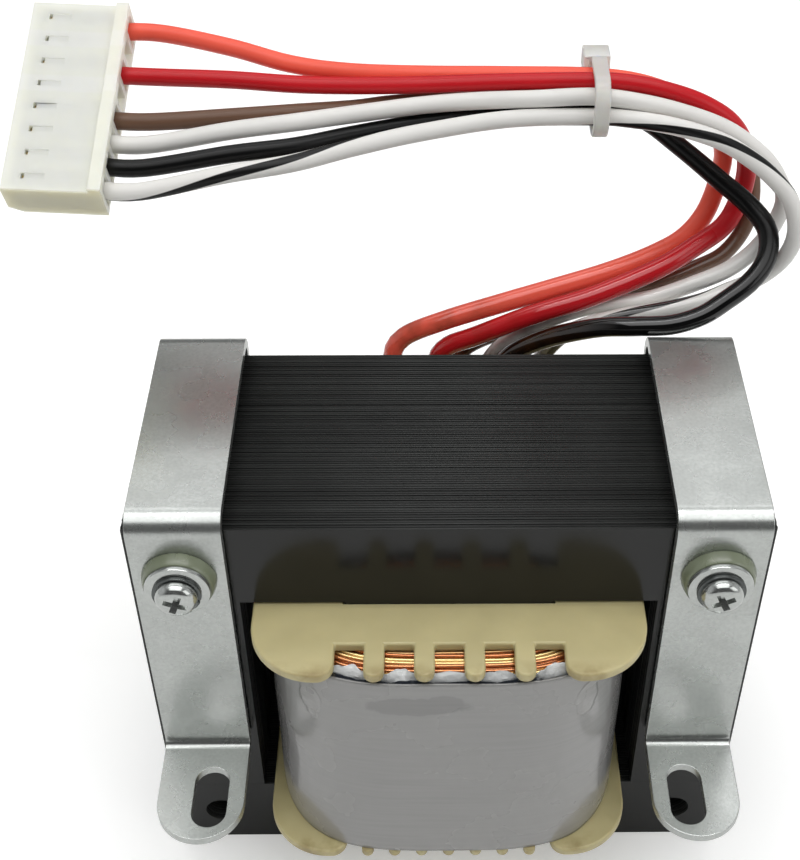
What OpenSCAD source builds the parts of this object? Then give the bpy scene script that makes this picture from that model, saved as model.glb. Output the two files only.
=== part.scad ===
// Laminated mains transformer with two foot straps and a six lead harness.
// Frame: X along the core's width, Y through the lamination stack, Z up.
// The origin is at the middle of the core's bottom face. Millimetres.

/* [Core] */
// Width of the centre limb of the sheets
tongue_w = 32; // [26:1:38]
// Width of each outer limb
limb_w = 16; // [15:0.5:19]
// Height of the top and bottom yokes
yoke_h = 16; // [14:0.5:18]
// Width of each winding window
window_w = 16; // [15:0.5:20]
// Height of the winding windows
window_h = 48; // [44:1:60]
// Depth of the whole stack of sheets
stack_d = 40; // [36:1:46]
// Depth of one packet of sheets laid the same way up
packet_d = 5; // [4:1:8]
// Spacing of the sheet edges that show round the stack
sheet_pitch = 1; // [1:0.25:1.5]
// Width of the line between two sheet edges
sheet_line_w = 0.3; // [0.2:0.05:0.4]
// Depth of the line between two sheet edges
sheet_line_d = 0.15; // [0.1:0.05:0.3]
// Diameter of the four corner holes
core_hole_d = 6; // [5.8:0.1:7]

/* [Bobbin] */
// Gap between the core and the bobbin tube
core_fit = 0.3; // [0.2:0.1:0.6]
// Wall of the bobbin tube
tube_wall = 1.2; // [0.8:0.1:2]
// Thickness of both flanges
flange_t = 1.8; // [1.2:0.1:2.4]
// Gap between a flange and the yoke it faces
flange_yoke_gap = 0.5; // [0.3:0.1:1]
// Gap between the side of a flange and the outer limb
flange_side_gap = 2; // [1:0.25:3]
// Reach of the top flange beyond the core's face
top_reach = 13.8; // [13.5:0.1:16]
// Reach of the bottom flange beyond the core's face
bottom_reach = 14.8; // [14:0.1:17]
// Radius of the outer corners of the flanges
flange_r = 10; // [8:0.5:11]
// Number of lead notches in each end of the top flange
notch_count = 5; // [3:1:5]
// Spacing of the lead notches
notch_pitch = 7.5; // [7:0.1:7.8]
// Width of a lead notch
notch_w = 4.4; // [4.4:0.1:4.8]
// Depth of a notch, in both flanges
notch_depth = 6; // [6:0.1:7]
// Number of teeth on each end of the bottom flange
tooth_count = 7; // [5:1:7]
// Spacing of the teeth of the bottom flange
tooth_pitch = 4.5; // [4:0.1:4.8]
// Width of a tooth of the bottom flange
tooth_w = 2; // [1.4:0.1:2.4]
// Radius of the inner corners of the flange lobes
lobe_r = 2.6; // [1.5:0.1:3]

/* [Coil] */
// Gap between the tube and the first turns
coil_fit = 0.1; // [0.05:0.05:0.3]
// Radial build of the primary winding
primary_build = 5; // [4:0.1:5.4]
// Thickness of the insulation between the windings
barrier_t = 0.6; // [0.3:0.1:1]
// Radial build of the secondary winding
secondary_build = 4.4; // [3.6:0.1:4.8]
// Thickness of the paper wrap
paper_t = 1; // [0.5:0.1:1.2]
// Thickness of the outer film tape
tape_t = 0.8; // [0.4:0.1:1]
// How much more the coil builds up at front and back than at the sides
swell = 1.02; // [1:0.01:1.04]
// Squareness of the coil's plan, 2 is an ellipse
squareness = 3.6; // [3.5:0.1:4]
// Gap between the ends of the windings and the flanges
coil_end_gap = 0.2; // [0.1:0.1:0.6]
// How far the outer tape stops short of the winding's upper end
tape_setback = 0.6; // [0:0.1:1.5]
// How much further the outer tape stands out at front and back at its lower edge
tape_flare = 1.4; // [0:0.1:1.6]
// Pitch of the wire layers that show on the ends of the windings
layer_pitch = 1.2; // [1:0.1:1.6]
// Depth of the line between two layers of wire
layer_line_d = 0.35; // [0.2:0.05:0.5]

/* [Straps] */
// Width of each strap
strap_w = 14; // [12:0.5:14.5]
// Thickness of the strap's steel
strap_t = 1.6; // [1:0.1:2]
// Gap between a strap's legs and the core
strap_gap = 0.55; // [0.55:0.05:0.8]
// Gap between a strap's top and the core
strap_rise = 2; // [1:0.1:2.2]
// How far the straps sit outboard of their screws
strap_shift = 0; // [0:0.1:0.5]
// Inside radius of the bends over the core's top edges
top_bend_r = 1.8; // [0.5:0.1:1.8]
// Inside radius of the bends at the feet
foot_bend_r = 1.2; // [0.5:0.1:2]
// Height of the top of the feet above the core's bottom
foot_z = 31; // [24:0.5:40]
// Length of a foot from the outside of the strap's leg
foot_len = 18.25; // [17:0.25:24]
// Width of the slot in a foot
slot_w = 5.6; // [4.5:0.1:6.5]
// Overall length of the slot in a foot
slot_len = 11.3; // [9:0.1:12]
// Distance from the slot's outer end to the tip of the foot
slot_tip = 2.2; // [2:0.1:4]
// How far the slots sit inboard of the middle of the strap
slot_inset = 1.5; // [0:0.1:1.5]

/* [Clamp screws] */
// Diameter of the screw shank
screw_d = 4; // [3:0.5:4]
// Diameter of the screw head
head_d = 6.5; // [6:0.1:7.4]
// Height of the screw head
head_h = 2.6; // [2:0.1:3]
// Radius of the head's rounded edge
head_r = 1.6; // [1:0.1:1.8]
// Depth of the cross recess
recess_depth = 1.5; // [1:0.1:1.6]
// Width of an arm of the cross recess
recess_w = 0.9; // [0.8:0.1:1.3]
// Width across the arms of the cross recess
recess_span = 3.5; // [3:0.1:4.2]
// Diameter of the metal washers
washer_d = 9.8; // [9:0.1:10]
// Thickness of the metal washers
washer_t = 0.8; // [0.5:0.1:1.2]
// Diameter of an insulating bush where it meets the strap
bush_base_d = 11.2; // [10.5:0.1:12.5]
// Diameter of an insulating bush at its outer face
bush_face_d = 10.4; // [10.1:0.1:10.8]
// Thickness of a bush's flange
bush_t = 2; // [1.5:0.1:3]
// Length of the bush's neck inside the core
bush_neck = 8; // [4:0.5:14]
// Clearance of the bush in its hole and of the screw in the bush
bush_fit = 0.15; // [0.1:0.05:0.2]
// Width across the flats of the nuts
nut_w = 7; // [6.5:0.1:7.5]
// Height of the nuts
nut_h = 3.2; // [2.4:0.1:4]
// Length of screw that shows beyond the nut
screw_end = 1.6; // [0.5:0.1:4]

/* [Harness] */
// Outer diameter of each lead
lead_d = 2.8; // [2:0.1:2.8]
// Pitch of the connector's positions
pin_pitch = 4.2; // [3.9:0.05:4.3]
// Number of positions in the connector
pin_count = 8; // [8:1:10]
// Length of the connector housing along the leads
housing_l = 15.3; // [15:0.1:18]
// Thickness of the connector housing
housing_t = 6.4; // [6.2:0.1:8]
// Wall between the end position and the end of the housing
end_wall = 0.5; // [0.3:0.1:1.5]
// Width of the cavity for a terminal
cavity_w = 3.1; // [3:0.05:3.2]
// Height of the cavity for a terminal
cavity_h = 4.6; // [4.2:0.1:4.8]
// Clearance of a terminal in its cavity
terminal_fit = 0.2; // [0.1:0.05:0.3]
// Sheet thickness of the terminals
terminal_t = 0.4; // [0.3:0.05:0.5]
// How far a lead reaches into the housing
lead_entry = 2.5; // [1.5:0.1:3]
// Width of the cable tie's band
tie_w = 2.5; // [2:0.1:4.8]
// Thickness of the cable tie's band
tie_t = 1; // [0.8:0.1:1.4]

/* [Hidden] */
$fn = 48;

core_w = tongue_w + 2 * window_w + 2 * limb_w;
core_h = window_h + 2 * yoke_h;
packet_count = ceil(stack_d / packet_d);
hole_x = (core_w - limb_w) / 2;
hole_z = core_h - yoke_h / 2;

// Bobbin and coil
tube_x = tongue_w / 2 + core_fit + tube_wall;
tube_y = stack_d / 2 + core_fit + tube_wall;
flange_w = tongue_w + 2 * window_w - 2 * flange_side_gap;
top_flange_z = yoke_h + window_h - flange_yoke_gap - flange_t;
bottom_flange_z = yoke_h + flange_yoke_gap;
coil_z0 = bottom_flange_z + flange_t + coil_end_gap;
coil_z1 = top_flange_z - coil_end_gap;
primary_edge = coil_fit + primary_build;
barrier_edge = primary_edge + barrier_t;
secondary_edge = barrier_edge + secondary_build;
paper_edge = secondary_edge + paper_t;
tape_edge = paper_edge + tape_t;
tape_spread = 1 + tape_flare / (tube_y + tape_edge * swell);
cut_over = 1;

// Straps and screws
strap_x = hole_x + strap_shift;
strap_in_y = stack_d / 2 + strap_gap;
strap_out_y = strap_in_y + strap_t;
strap_in_z = core_h + strap_rise;
strap_out_z = strap_in_z + strap_t;
slot_y = strap_out_y + foot_len - slot_tip - slot_len / 2;
bush_neck_d = core_hole_d - 2 * bush_fit;
bush_bore_d = screw_d + 2 * bush_fit;
bush_face_y = strap_out_y + bush_t;
head_y = bush_face_y + washer_t;
nut_face_y = head_y + nut_h;
recess_turn = 20;

// Connector: its place is the middle of the face that the leads enter
housing_at = [-51.2, 35.9, 116.8];
housing_tilt = 25.1;
housing_turn = -3.1;
housing_w = pin_count * pin_pitch + 2 * end_wall;
ORANGE_PIN = 0;
RED_PIN = 2;
BROWN_PIN = 4;
WHITE_PIN = 5;
BLACK_PIN = 6;
STRIPED_PIN = 7;
FILLED_PINS = [ORANGE_PIN, RED_PIN, BROWN_PIN, WHITE_PIN, BLACK_PIN, STRIPED_PIN];

// Cable tie: its middle and the size of the bundle that it goes round
tie_at = [24.5, 42, 115.4];
bundle_y = 11;
bundle_z = 8.6;
bundle_r = 3;
tie_head = [4.4, 4, 3.4];
tie_head_z = 0.6;

// Leads: each leaves a notch at the back of the top flange and ends in the connector
lead_z0 = coil_z1;
lead_sides = 8;
stub = 5;

function pin_y(i) = ((pin_count - 1) / 2 - i) * pin_pitch;
function tilted(v) = [
    v[0],
    v[1] * cos(housing_tilt) - v[2] * sin(housing_tilt),
    v[1] * sin(housing_tilt) + v[2] * cos(housing_tilt)];
function turned(v) = [
    v[0] * cos(housing_turn) - v[1] * sin(housing_turn),
    v[0] * sin(housing_turn) + v[1] * cos(housing_turn),
    v[2]];
function housing_point(v) = housing_at + tilted(turned(v));
function into_housing(i) = [
    housing_point([stub, pin_y(i), 0]),
    housing_point([-lead_entry, pin_y(i), 0])];

orange_route = concat([[-8.2, 31, lead_z0], [-8.2, 31, 66], [-9.4, 31.8, 70.2], [-7.2, 32.8, 73.6],
    [0, 33.2, 76.9], [10, 33.8, 80.2], [19, 34.5, 82.9], [27.5, 36, 84.9], [35, 38.6, 86.4], [41, 41.8, 87.9],
    [45, 45.5, 90.5], [47, 48, 95.5], [47, 47, 102], [44.5, 45.5, 108], [40, 45, 112.5],
    [33, 45.2, 115.7], [24.5, 45.6, 117], [10, 46.2, 117], [-4, 45.9, 117.3], [-15.6, 43.3, 119.2],
    [-24.6, 42.5, 121], [-34.3, 45.5, 122.3]], into_housing(ORANGE_PIN));
red_route = concat([[-0.7, 30.6, lead_z0], [-0.7, 30.6, 66], [-1.6, 30.8, 70], [0.5, 31.2, 72.8],
    [5, 31, 75], [15, 30.7, 80], [25, 31.2, 83.5], [36, 34.2, 87], [42.5, 37.5, 89.3],
    [47.5, 40.7, 91.2], [50, 43.3, 94.5], [50.7, 43.8, 100], [49.5, 43, 105.5], [46.5, 42.2, 110.5],
    [42, 42, 113.8], [37, 41.9, 116], [31, 42.1, 117.5], [24.5, 42.4, 118], [10, 43, 117.5],
    [-4, 42.5, 117.3], [-14.6, 40.5, 118.3], [-23.6, 39.3, 119.2], [-34.3, 39.9, 119.7]],
    into_housing(RED_PIN));
brown_route = concat([[0.7, 33.6, lead_z0], [0.7, 33.6, 65], [4, 35.6, 69], [13, 36.8, 72.8],
    [22.5, 36, 77.8], [32.5, 36, 81.6], [38, 36.5, 83], [43, 37.6, 84.6], [48, 39.3, 86.5],
    [51.7, 42.5, 90.2], [52.8, 46, 95], [51.5, 48.3, 100], [47.5, 49, 105.5], [41, 48.4, 109.8],
    [33, 46.6, 112.5], [25, 45, 113.4], [14, 44.8, 113.4], [4, 44.9, 113.2], [-7.9, 42.1, 114.2],
    [-14.6, 39.3, 114.9], [-23.6, 36.2, 116], [-32.4, 34.5, 116.3]], into_housing(BROWN_PIN));
white_route = concat([[7, 33.4, lead_z0], [7, 33.4, 66], [9, 32.8, 70.5], [12.5, 32.4, 74],
    [18, 32.4, 77.6], [25, 32, 80.6], [34.5, 32, 82.3], [43, 32.4, 85.6], [48.3, 33.7, 87.6],
    [52.5, 35.7, 90.2], [55.4, 37.6, 94], [56.2, 38.2, 99], [53.3, 38.1, 104.7], [49, 38, 109],
    [44, 38.2, 112.2], [37.5, 38.8, 114.4], [31, 39.2, 115.9], [23.5, 39.9, 116.6], [14, 39.9, 116.2],
    [5, 40.2, 115.7], [-4, 39.2, 115.5], [-14.6, 35.8, 115.9], [-23.6, 32.7, 116.3], [-33.3, 31, 115.9]],
    into_housing(WHITE_PIN));
black_route = concat([[8, 30.4, lead_z0], [8, 30.4, 66], [11, 29.4, 72], [17, 27.8, 77], [25, 24.9, 81.6],
    [31, 23, 83.4], [37, 22.3, 84.3], [42, 23, 85.6], [46, 24.6, 87.5], [49.8, 26.6, 89.5],
    [52.3, 28.8, 91.6], [53.3, 31.2, 93.8], [52.8, 33.6, 96.1], [50, 36.4, 98.5], [45, 38.5, 102],
    [38.3, 40.4, 107], [31.5, 41.6, 111.6], [24, 42, 113.2], [14, 42, 113], [5, 41.7, 112.5],
    [-4, 39.1, 112.5], [-14.6, 34.3, 113.2], [-23.6, 30, 113.7], [-33.3, 27.6, 113.8]],
    into_housing(BLACK_PIN));
striped_route = concat([[15, 32.2, lead_z0], [15, 32.2, 65.5], [17.5, 32, 70.5], [20, 30.8, 75],
    [22.7, 29, 78.4], [26, 28.2, 80.4], [31, 28.3, 81.7], [37, 28.9, 82.4], [43, 29.3, 83.8],
    [48, 30.7, 85.2], [53, 31.6, 87.2], [56.4, 31.4, 91.5], [57.2, 31, 97], [55.6, 31.7, 102.3],
    [52.3, 32.4, 106.2], [48, 33.2, 109.5], [43, 34.2, 112.1], [36, 35.3, 113.9], [29, 37.6, 113.9],
    [23.5, 38.8, 113.6], [10, 37.8, 113.8], [-4, 34.1, 113.6], [-14.6, 29.7, 113.6], [-23.6, 26, 113.2],
    [-34.1, 24, 112.4]], into_housing(STRIPED_PIN));

// Flat shapes

// E sheet with its yoke at the top, drawn in X and Z
module e_sheet() {
    difference() {
        translate([-core_w / 2, yoke_h])
            square([core_w, core_h - yoke_h]);
        for (side = [-1, 1])
            translate([side * (tongue_w + window_w) / 2 - window_w / 2, yoke_h - cut_over])
                square([window_w, window_h + cut_over]);
        for (side = [-1, 1])
            translate([side * hole_x, hole_z])
                circle(d = core_hole_d);
    }
}

// I sheet that closes the bottom of that E
module i_sheet() {
    difference() {
        translate([-core_w / 2, 0])
            square([core_w, yoke_h]);
        for (side = [-1, 1])
            translate([side * hole_x, core_h - hole_z])
                circle(d = core_hole_d);
    }
}

// Frame that cuts a line round the outside of the stack between two sheets
module sheet_line() {
    difference() {
        translate([-core_w / 2 - cut_over, -cut_over])
            square([core_w + 2 * cut_over, core_h + 2 * cut_over]);
        translate([-core_w / 2 + sheet_line_d, sheet_line_d])
            square([core_w - 2 * sheet_line_d, core_h - 2 * sheet_line_d]);
    }
}

// Quarter of a disc in the first quadrant
module quarter(r) {
    intersection() {
        circle(r = r);
        square(r);
    }
}

// Lobe of a flange: its far corners in Y are rounded, the inner one by r0 and the outer one by r1
module lobe(x0, x1, y1, r0, r1) {
    translate([x0, 0])
        square([r0, y1 - r0]);
    translate([x0 + r0, 0])
        square([x1 - r1 - x0 - r0, y1]);
    translate([x1 - r1, 0])
        square([r1, y1 - r1]);
    translate([x0 + r0, y1 - r0])
        mirror([1, 0])
            quarter(r0);
    translate([x1 - r1, y1 - r1])
        quarter(r1);
}

// Half of a flange's plan, with a comb of round ended teeth between two lobes
module flange_half(reach, teeth, pitch, width) {
    tip = stack_d / 2 + reach;
    root = tip - notch_depth;
    comb = (teeth + 1) * pitch / 2 - width / 2;
    translate([-comb, 0])
        square([2 * comb, root]);
    for (i = [0 : teeth - 1])
        translate([(i - (teeth - 1) / 2) * pitch, 0]) {
            translate([-width / 2, 0])
                square([width, tip - width / 2]);
            translate([0, tip - width / 2])
                circle(d = width);
        }
    for (side = [0, 1])
        mirror([side, 0])
            lobe(comb, flange_w / 2, tip, lobe_r, flange_r);
}

module flange_plan(reach, teeth, pitch, width) {
    difference() {
        for (side = [0, 1])
            mirror([0, side])
                flange_half(reach, teeth, pitch, width);
        square([tongue_w + 2 * core_fit, stack_d + 2 * core_fit], center = true);
    }
}

// Plan of the coil at a given build above the bobbin tube
function side_of(v) = v < 0 ? -1 : 1;
function squircle(a, p) = [
    side_of(cos(a)) * pow(abs(cos(a)), 2 / p),
    side_of(sin(a)) * pow(abs(sin(a)), 2 / p)];
function coil_plan(build) = [
    for (a = [0 : 5 : 355])
        let (q = squircle(a, squareness))
        [(tube_x + build) * q[0], (tube_y + build * swell) * q[1]]];

// One layer of the coil between two builds
module coil_layer(inner, outer, z0, z1) {
    translate([0, 0, z0])
        linear_extrude(z1 - z0)
            difference() {
                polygon(coil_plan(outer));
                polygon(coil_plan(inner));
            }
}

// Shallow grooves between the layers of wire, on both ends of a winding
module layer_lines(inner, outer) {
    count = floor((outer - inner) / layer_pitch);
    step = (outer - inner) / (count + 1);
    for (i = [1 : count], z = [coil_z0, coil_z1])
        coil_layer(inner + i * step - layer_line_d / 2, inner + i * step + layer_line_d / 2,
            z - layer_line_d, z + layer_line_d);
}

// Sub-parts

// Depth of one packet: the last one takes what is left of the stack
function packet_depth(i) = min(packet_d, stack_d - i * packet_d);

// Packets of sheets: every other one is turned over, so the joints overlap
module packets() {
    for (i = [0 : packet_count - 1])
        translate([0, -stack_d / 2 + i * packet_d, 0])
            mirror([0, 0, i % 2])
                translate([0, 0, -core_h * (i % 2)])
                    difference() {
                        translate([0, packet_depth(i), 0])
                            rotate([90, 0, 0])
                                linear_extrude(packet_depth(i))
                                    children();
                        for (y = [sheet_pitch / 2 : sheet_pitch : packet_depth(i) - sheet_line_w])
                            translate([0, y + sheet_line_w / 2, 0])
                                rotate([90, 0, 0])
                                    linear_extrude(sheet_line_w)
                                        sheet_line();
                    }
}

module e_laminations() {
    color("#2b2c2b")
        packets()
            e_sheet();
}

module i_laminations() {
    color("#333433")
        packets()
            i_sheet();
}

module bobbin() {
    color("#b5aa7c") {
        translate([0, 0, bottom_flange_z])
            linear_extrude(top_flange_z + flange_t - bottom_flange_z)
                difference() {
                    square([2 * tube_x, 2 * tube_y], center = true);
                    square([tongue_w + 2 * core_fit, stack_d + 2 * core_fit], center = true);
                }
        translate([0, 0, top_flange_z])
            linear_extrude(flange_t)
                flange_plan(top_reach, notch_count - 1, notch_pitch, notch_pitch - notch_w);
        translate([0, 0, bottom_flange_z])
            linear_extrude(flange_t)
                flange_plan(bottom_reach, tooth_count, tooth_pitch, tooth_w);
    }
}

module primary_winding() {
    color("#b4692f")
        translate([0, 0, coil_z0])
            linear_extrude(coil_z1 - coil_z0)
                difference() {
                    polygon(coil_plan(primary_edge));
                    square([2 * (tube_x + coil_fit), 2 * (tube_y + coil_fit)], center = true);
                }
}

module winding_barrier() {
    color("#e3d9a8")
        coil_layer(primary_edge, barrier_edge, coil_z0, coil_z1);
}

module secondary_winding() {
    color("#c8803c")
        difference() {
            coil_layer(barrier_edge, secondary_edge, coil_z0, coil_z1);
            layer_lines(barrier_edge, secondary_edge);
        }
}

module paper_wrap() {
    color("#d9dad8")
        coil_layer(secondary_edge, paper_edge, coil_z0, coil_z1);
}

module outer_tape() {
    color("#8c8c8a")
        difference() {
            translate([0, 0, coil_z0])
                linear_extrude(coil_z1 - tape_setback - coil_z0, scale = [1, 1 / tape_spread], slices = 1)
                    polygon([for (p = coil_plan(tape_edge)) [p[0], p[1] * tape_spread]]);
            translate([0, 0, coil_z0 - cut_over])
                linear_extrude(coil_z1 - coil_z0 + 2 * cut_over)
                    polygon(coil_plan(paper_edge));
        }
}

// Quarter of a bent strip about the origin, from radius r to r + strap_t
module bend(r) {
    intersection() {
        difference() {
            circle(r = r + strap_t);
            circle(r = r);
        }
        square([r + strap_t, r + strap_t]);
    }
}

// Half of the strap's section in Y and Z: top, bend, leg and foot bend
module strap_half() {
    bend_out = top_bend_r + strap_t;
    translate([0, strap_in_z])
        square([strap_out_y - bend_out, strap_t]);
    translate([strap_out_y - bend_out, strap_out_z - bend_out])
        bend(top_bend_r);
    translate([strap_in_y, foot_z + foot_bend_r])
        square([strap_t, strap_out_z - bend_out - foot_z - foot_bend_r]);
    translate([strap_out_y + foot_bend_r, foot_z + foot_bend_r])
        rotate(180)
            bend(foot_bend_r);
}

// Plan of a foot, from the bend to its round tip
module foot_plan(inboard) {
    difference() {
        union() {
            translate([-strap_w / 2, strap_out_y + foot_bend_r])
                square([strap_w, foot_len - foot_bend_r - strap_w / 2]);
            translate([0, strap_out_y + foot_len - strap_w / 2])
                circle(d = strap_w);
        }
        translate([inboard * slot_inset, slot_y]) {
            square([slot_w, slot_len - slot_w], center = true);
            for (end = [-1, 1])
                translate([0, end * (slot_len - slot_w) / 2])
                    circle(d = slot_w);
        }
    }
}

module strap(side) {
    color("#a8aaa6")
        translate([side * strap_x, 0, 0])
            difference() {
                for (face = [0, 1])
                    mirror([0, face, 0]) {
                        translate([-strap_w / 2, 0, 0])
                            rotate([90, 0, 90])
                                linear_extrude(strap_w)
                                    strap_half();
                        translate([0, 0, foot_z - strap_t])
                            linear_extrude(strap_t)
                                foot_plan(-side);
                    }
                translate([-side * strap_shift, 0, hole_z])
                    rotate([90, 0, 0])
                        cylinder(d = core_hole_d, h = 2 * strap_out_y + 2 * cut_over, center = true);
            }
}

module left_strap() {
    strap(-1);
}

module right_strap() {
    strap(1);
}

// Places a part on a screw's axis, with its own Z pointing out of the front or rear face
module on_screw(side, face) {
    translate([side * hole_x, 0, hole_z])
        rotate([face > 0 ? 90 : -90, 0, 0])
            children();
}

// Pan head with a rounded edge and a cross recess, and a plain shank to the rear nut
module screw(side) {
    color("#9fa19f")
        on_screw(side, 1) {
            difference() {
                translate([0, 0, head_y])
                    rotate_extrude() {
                        square([head_d / 2 - head_r, head_h]);
                        square([head_d / 2, head_h - head_r]);
                        translate([head_d / 2 - head_r, head_h - head_r])
                            quarter(head_r);
                    }
                for (turn = [0, 90])
                    rotate(turn + recess_turn)
                        translate([-recess_span / 2, -recess_w / 2, head_y + head_h - recess_depth])
                            cube([recess_span, recess_w, recess_depth + cut_over]);
            }
            translate([0, 0, -nut_face_y - screw_end])
                cylinder(d = screw_d, h = head_y + nut_face_y + screw_end);
        }
}

module left_screw() {
    screw(-1);
}

module right_screw() {
    screw(1);
}

module nut(side) {
    color("#9a9c9a")
        on_screw(side, -1)
            translate([0, 0, head_y])
                difference() {
                    cylinder(d = nut_w / cos(30), h = nut_h, $fn = 6);
                    translate([0, 0, -cut_over])
                        cylinder(d = screw_d + bush_fit, h = nut_h + 2 * cut_over);
                }
}

module left_nut() {
    nut(-1);
}

module right_nut() {
    nut(1);
}

// Shouldered bush: a tapered flange on the strap and a neck that lines the hole
module bush(side, face) {
    color("#c9ccb4")
        on_screw(side, face)
            difference() {
                union() {
                    translate([0, 0, strap_out_y])
                        cylinder(d1 = bush_base_d, d2 = bush_face_d, h = bush_t);
                    translate([0, 0, stack_d / 2 - bush_neck])
                        cylinder(d = bush_neck_d, h = strap_out_y + bush_t - stack_d / 2 + bush_neck);
                }
                translate([0, 0, stack_d / 2 - bush_neck - cut_over])
                    cylinder(d = bush_bore_d, h = bush_neck + strap_out_y + bush_t + 2 * cut_over);
            }
}

module left_front_bush() {
    bush(-1, 1);
}

module right_front_bush() {
    bush(1, 1);
}

module left_rear_bush() {
    bush(-1, -1);
}

module right_rear_bush() {
    bush(1, -1);
}

module washer(side, face) {
    color("#b3b5b3")
        on_screw(side, face)
            translate([0, 0, bush_face_y])
                difference() {
                    cylinder(d = washer_d, h = washer_t);
                    translate([0, 0, -cut_over])
                        cylinder(d = bush_bore_d, h = washer_t + 2 * cut_over);
                }
}

module left_front_washer() {
    washer(-1, 1);
}

module right_front_washer() {
    washer(1, 1);
}

module left_rear_washer() {
    washer(-1, -1);
}

module right_rear_washer() {
    washer(1, -1);
}

// Leads: one ring of points round each point of a route. No lead runs along the guide
ring_guide = [0, 1, 0.2];
function unit(v) = v / norm(v);
function heading(path, i) = unit(path[min(i + 1, len(path) - 1)] - path[max(i - 1, 0)]);
function ring(path, i) =
    let (t = heading(path, i), u = unit(cross(t, ring_guide)), v = cross(t, u))
    [for (k = [0 : lead_sides - 1])
        let (a = 360 * k / lead_sides)
        path[i] + lead_d / 2 * (cos(a) * u + sin(a) * v)];

module lead(path) {
    last = len(path) - 1;
    points = [for (i = [0 : last]) each ring(path, i)];
    walls = [for (i = [0 : last - 1], k = [0 : lead_sides - 1])
        let (m = (k + 1) % lead_sides, a = i * lead_sides, b = a + lead_sides)
        [a + m, a + k, b + k, b + m]];
    first_end = [for (k = [0 : lead_sides - 1]) k];
    last_end = [for (k = [lead_sides - 1 : -1 : 0]) last * lead_sides + k];
    polyhedron(points, concat([first_end], walls, [last_end]), convexity = 6);
}

module orange_lead() {
    color("#e8574a")
        lead(orange_route);
}

module red_lead() {
    color("#c8282e")
        lead(red_route);
}

module brown_lead() {
    color("#6e5548")
        lead(brown_route);
}

module white_lead() {
    color("#e8e6e2")
        lead(white_route);
}

module black_lead() {
    color("#161616")
        lead(black_route);
}

module striped_lead() {
    color("#dcdcd8")
        lead(striped_route);
}

// Rounded rectangle about the origin
module rounded(w, h, r) {
    square([w, h - 2 * r], center = true);
    square([w - 2 * r, h], center = true);
    for (x = [-1, 1], y = [-1, 1])
        translate([x * (w / 2 - r), y * (h / 2 - r)])
            circle(r = r);
}

module cable_tie() {
    color("#dcdccf")
        translate(tie_at) {
            rotate([90, 0, 90])
                linear_extrude(tie_w, center = true)
                    difference() {
                        rounded(bundle_y + 2 * tie_t, bundle_z + 2 * tie_t, bundle_r + tie_t);
                        rounded(bundle_y, bundle_z, bundle_r);
                    }
            translate([-tie_head[0] / 2, bundle_y / 2 + 0.4 * tie_t, tie_head_z])
                cube(tie_head);
        }
}

// Places a part of the connector: leads enter on its +X side, pins are counted along -Y
module in_housing() {
    translate(housing_at)
        rotate([housing_tilt, 0, 0])
            rotate([0, 0, housing_turn])
                children();
}

module connector_housing() {
    rib_l = 2;
    rib_h = 0.8;
    nose_l = 2.2;
    nose_step = 1.2;
    slit_w = 1;
    slit_l = 0.5;
    slit_gap = 0.6;
    window_l = 3.6;
    window_d = 0.12;
    mating_w = 2;
    front_wall = 1.2;
    slit_x = -housing_l + nose_l + slit_gap;
    color("#dededa")
        in_housing()
            difference() {
                union() {
                    translate([-housing_l + nose_l, -housing_w / 2, -housing_t / 2])
                        cube([housing_l - nose_l, housing_w, housing_t]);
                    translate([-housing_l, housing_w / 2, 0])
                        rotate([90, 0, 0])
                            linear_extrude(housing_w)
                                polygon([
                                    [nose_l, -housing_t / 2], [nose_l, housing_t / 2],
                                    [0, housing_t / 2], [0, -housing_t / 2 + nose_step]]);
                    translate([-rib_l, -housing_w / 2, housing_t / 2])
                        cube([rib_l, housing_w, rib_h]);
                }
                for (i = [0 : pin_count - 1])
                    translate([0, pin_y(i), 0]) {
                        translate([-housing_l + front_wall, -cavity_w / 2, -cavity_h / 2])
                            cube([housing_l, cavity_w, cavity_h]);
                        translate([-housing_l - cut_over, -mating_w / 2, -mating_w / 2])
                            cube([front_wall + 2 * cut_over, mating_w, mating_w]);
                        translate([slit_x, -slit_w / 2, 0])
                            cube([slit_l, slit_w, housing_t]);
                        translate([slit_x, -slit_w / 2, housing_t / 2 - window_d])
                            cube([window_l, slit_w, housing_t]);
                    }
            }
}

// Terminals: an open box that grips a pin, and a barrel crimped on the lead
module crimp_terminals() {
    box_w = cavity_w - 2 * terminal_fit;
    box_h = cavity_h - 2 * terminal_fit;
    box_l = 6.2;
    barrel_l = 4;
    barrel_h = 2.2;
    front_gap = 1.5;
    x0 = -housing_l + front_gap;
    color("#c9b06a")
        in_housing()
            for (i = FILLED_PINS)
                translate([0, pin_y(i), 0])
                    difference() {
                        union() {
                            translate([x0, -box_w / 2, -box_h / 2])
                                cube([box_l, box_w, box_h]);
                            translate([x0 + box_l, -box_w / 2, -box_h / 2])
                                cube([barrel_l, box_w, barrel_h]);
                        }
                        translate([x0 - cut_over, -box_w / 2 + terminal_t, -box_h / 2 + terminal_t])
                            cube([box_l + 2 * cut_over, box_w - 2 * terminal_t, box_h - 2 * terminal_t]);
                        translate([x0 + box_l, -box_w / 2 + terminal_t, -box_h / 2 + terminal_t])
                            cube([barrel_l + cut_over, box_w - 2 * terminal_t, box_h]);
                    }
}

e_laminations();
i_laminations();
bobbin();
primary_winding();
winding_barrier();
secondary_winding();
paper_wrap();
outer_tape();
left_strap();
right_strap();
left_screw();
right_screw();
left_nut();
right_nut();
left_front_bush();
right_front_bush();
left_rear_bush();
right_rear_bush();
left_front_washer();
right_front_washer();
left_rear_washer();
right_rear_washer();
orange_lead();
red_lead();
brown_lead();
white_lead();
black_lead();
striped_lead();
cable_tie();
connector_housing();
crimp_terminals();
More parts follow.
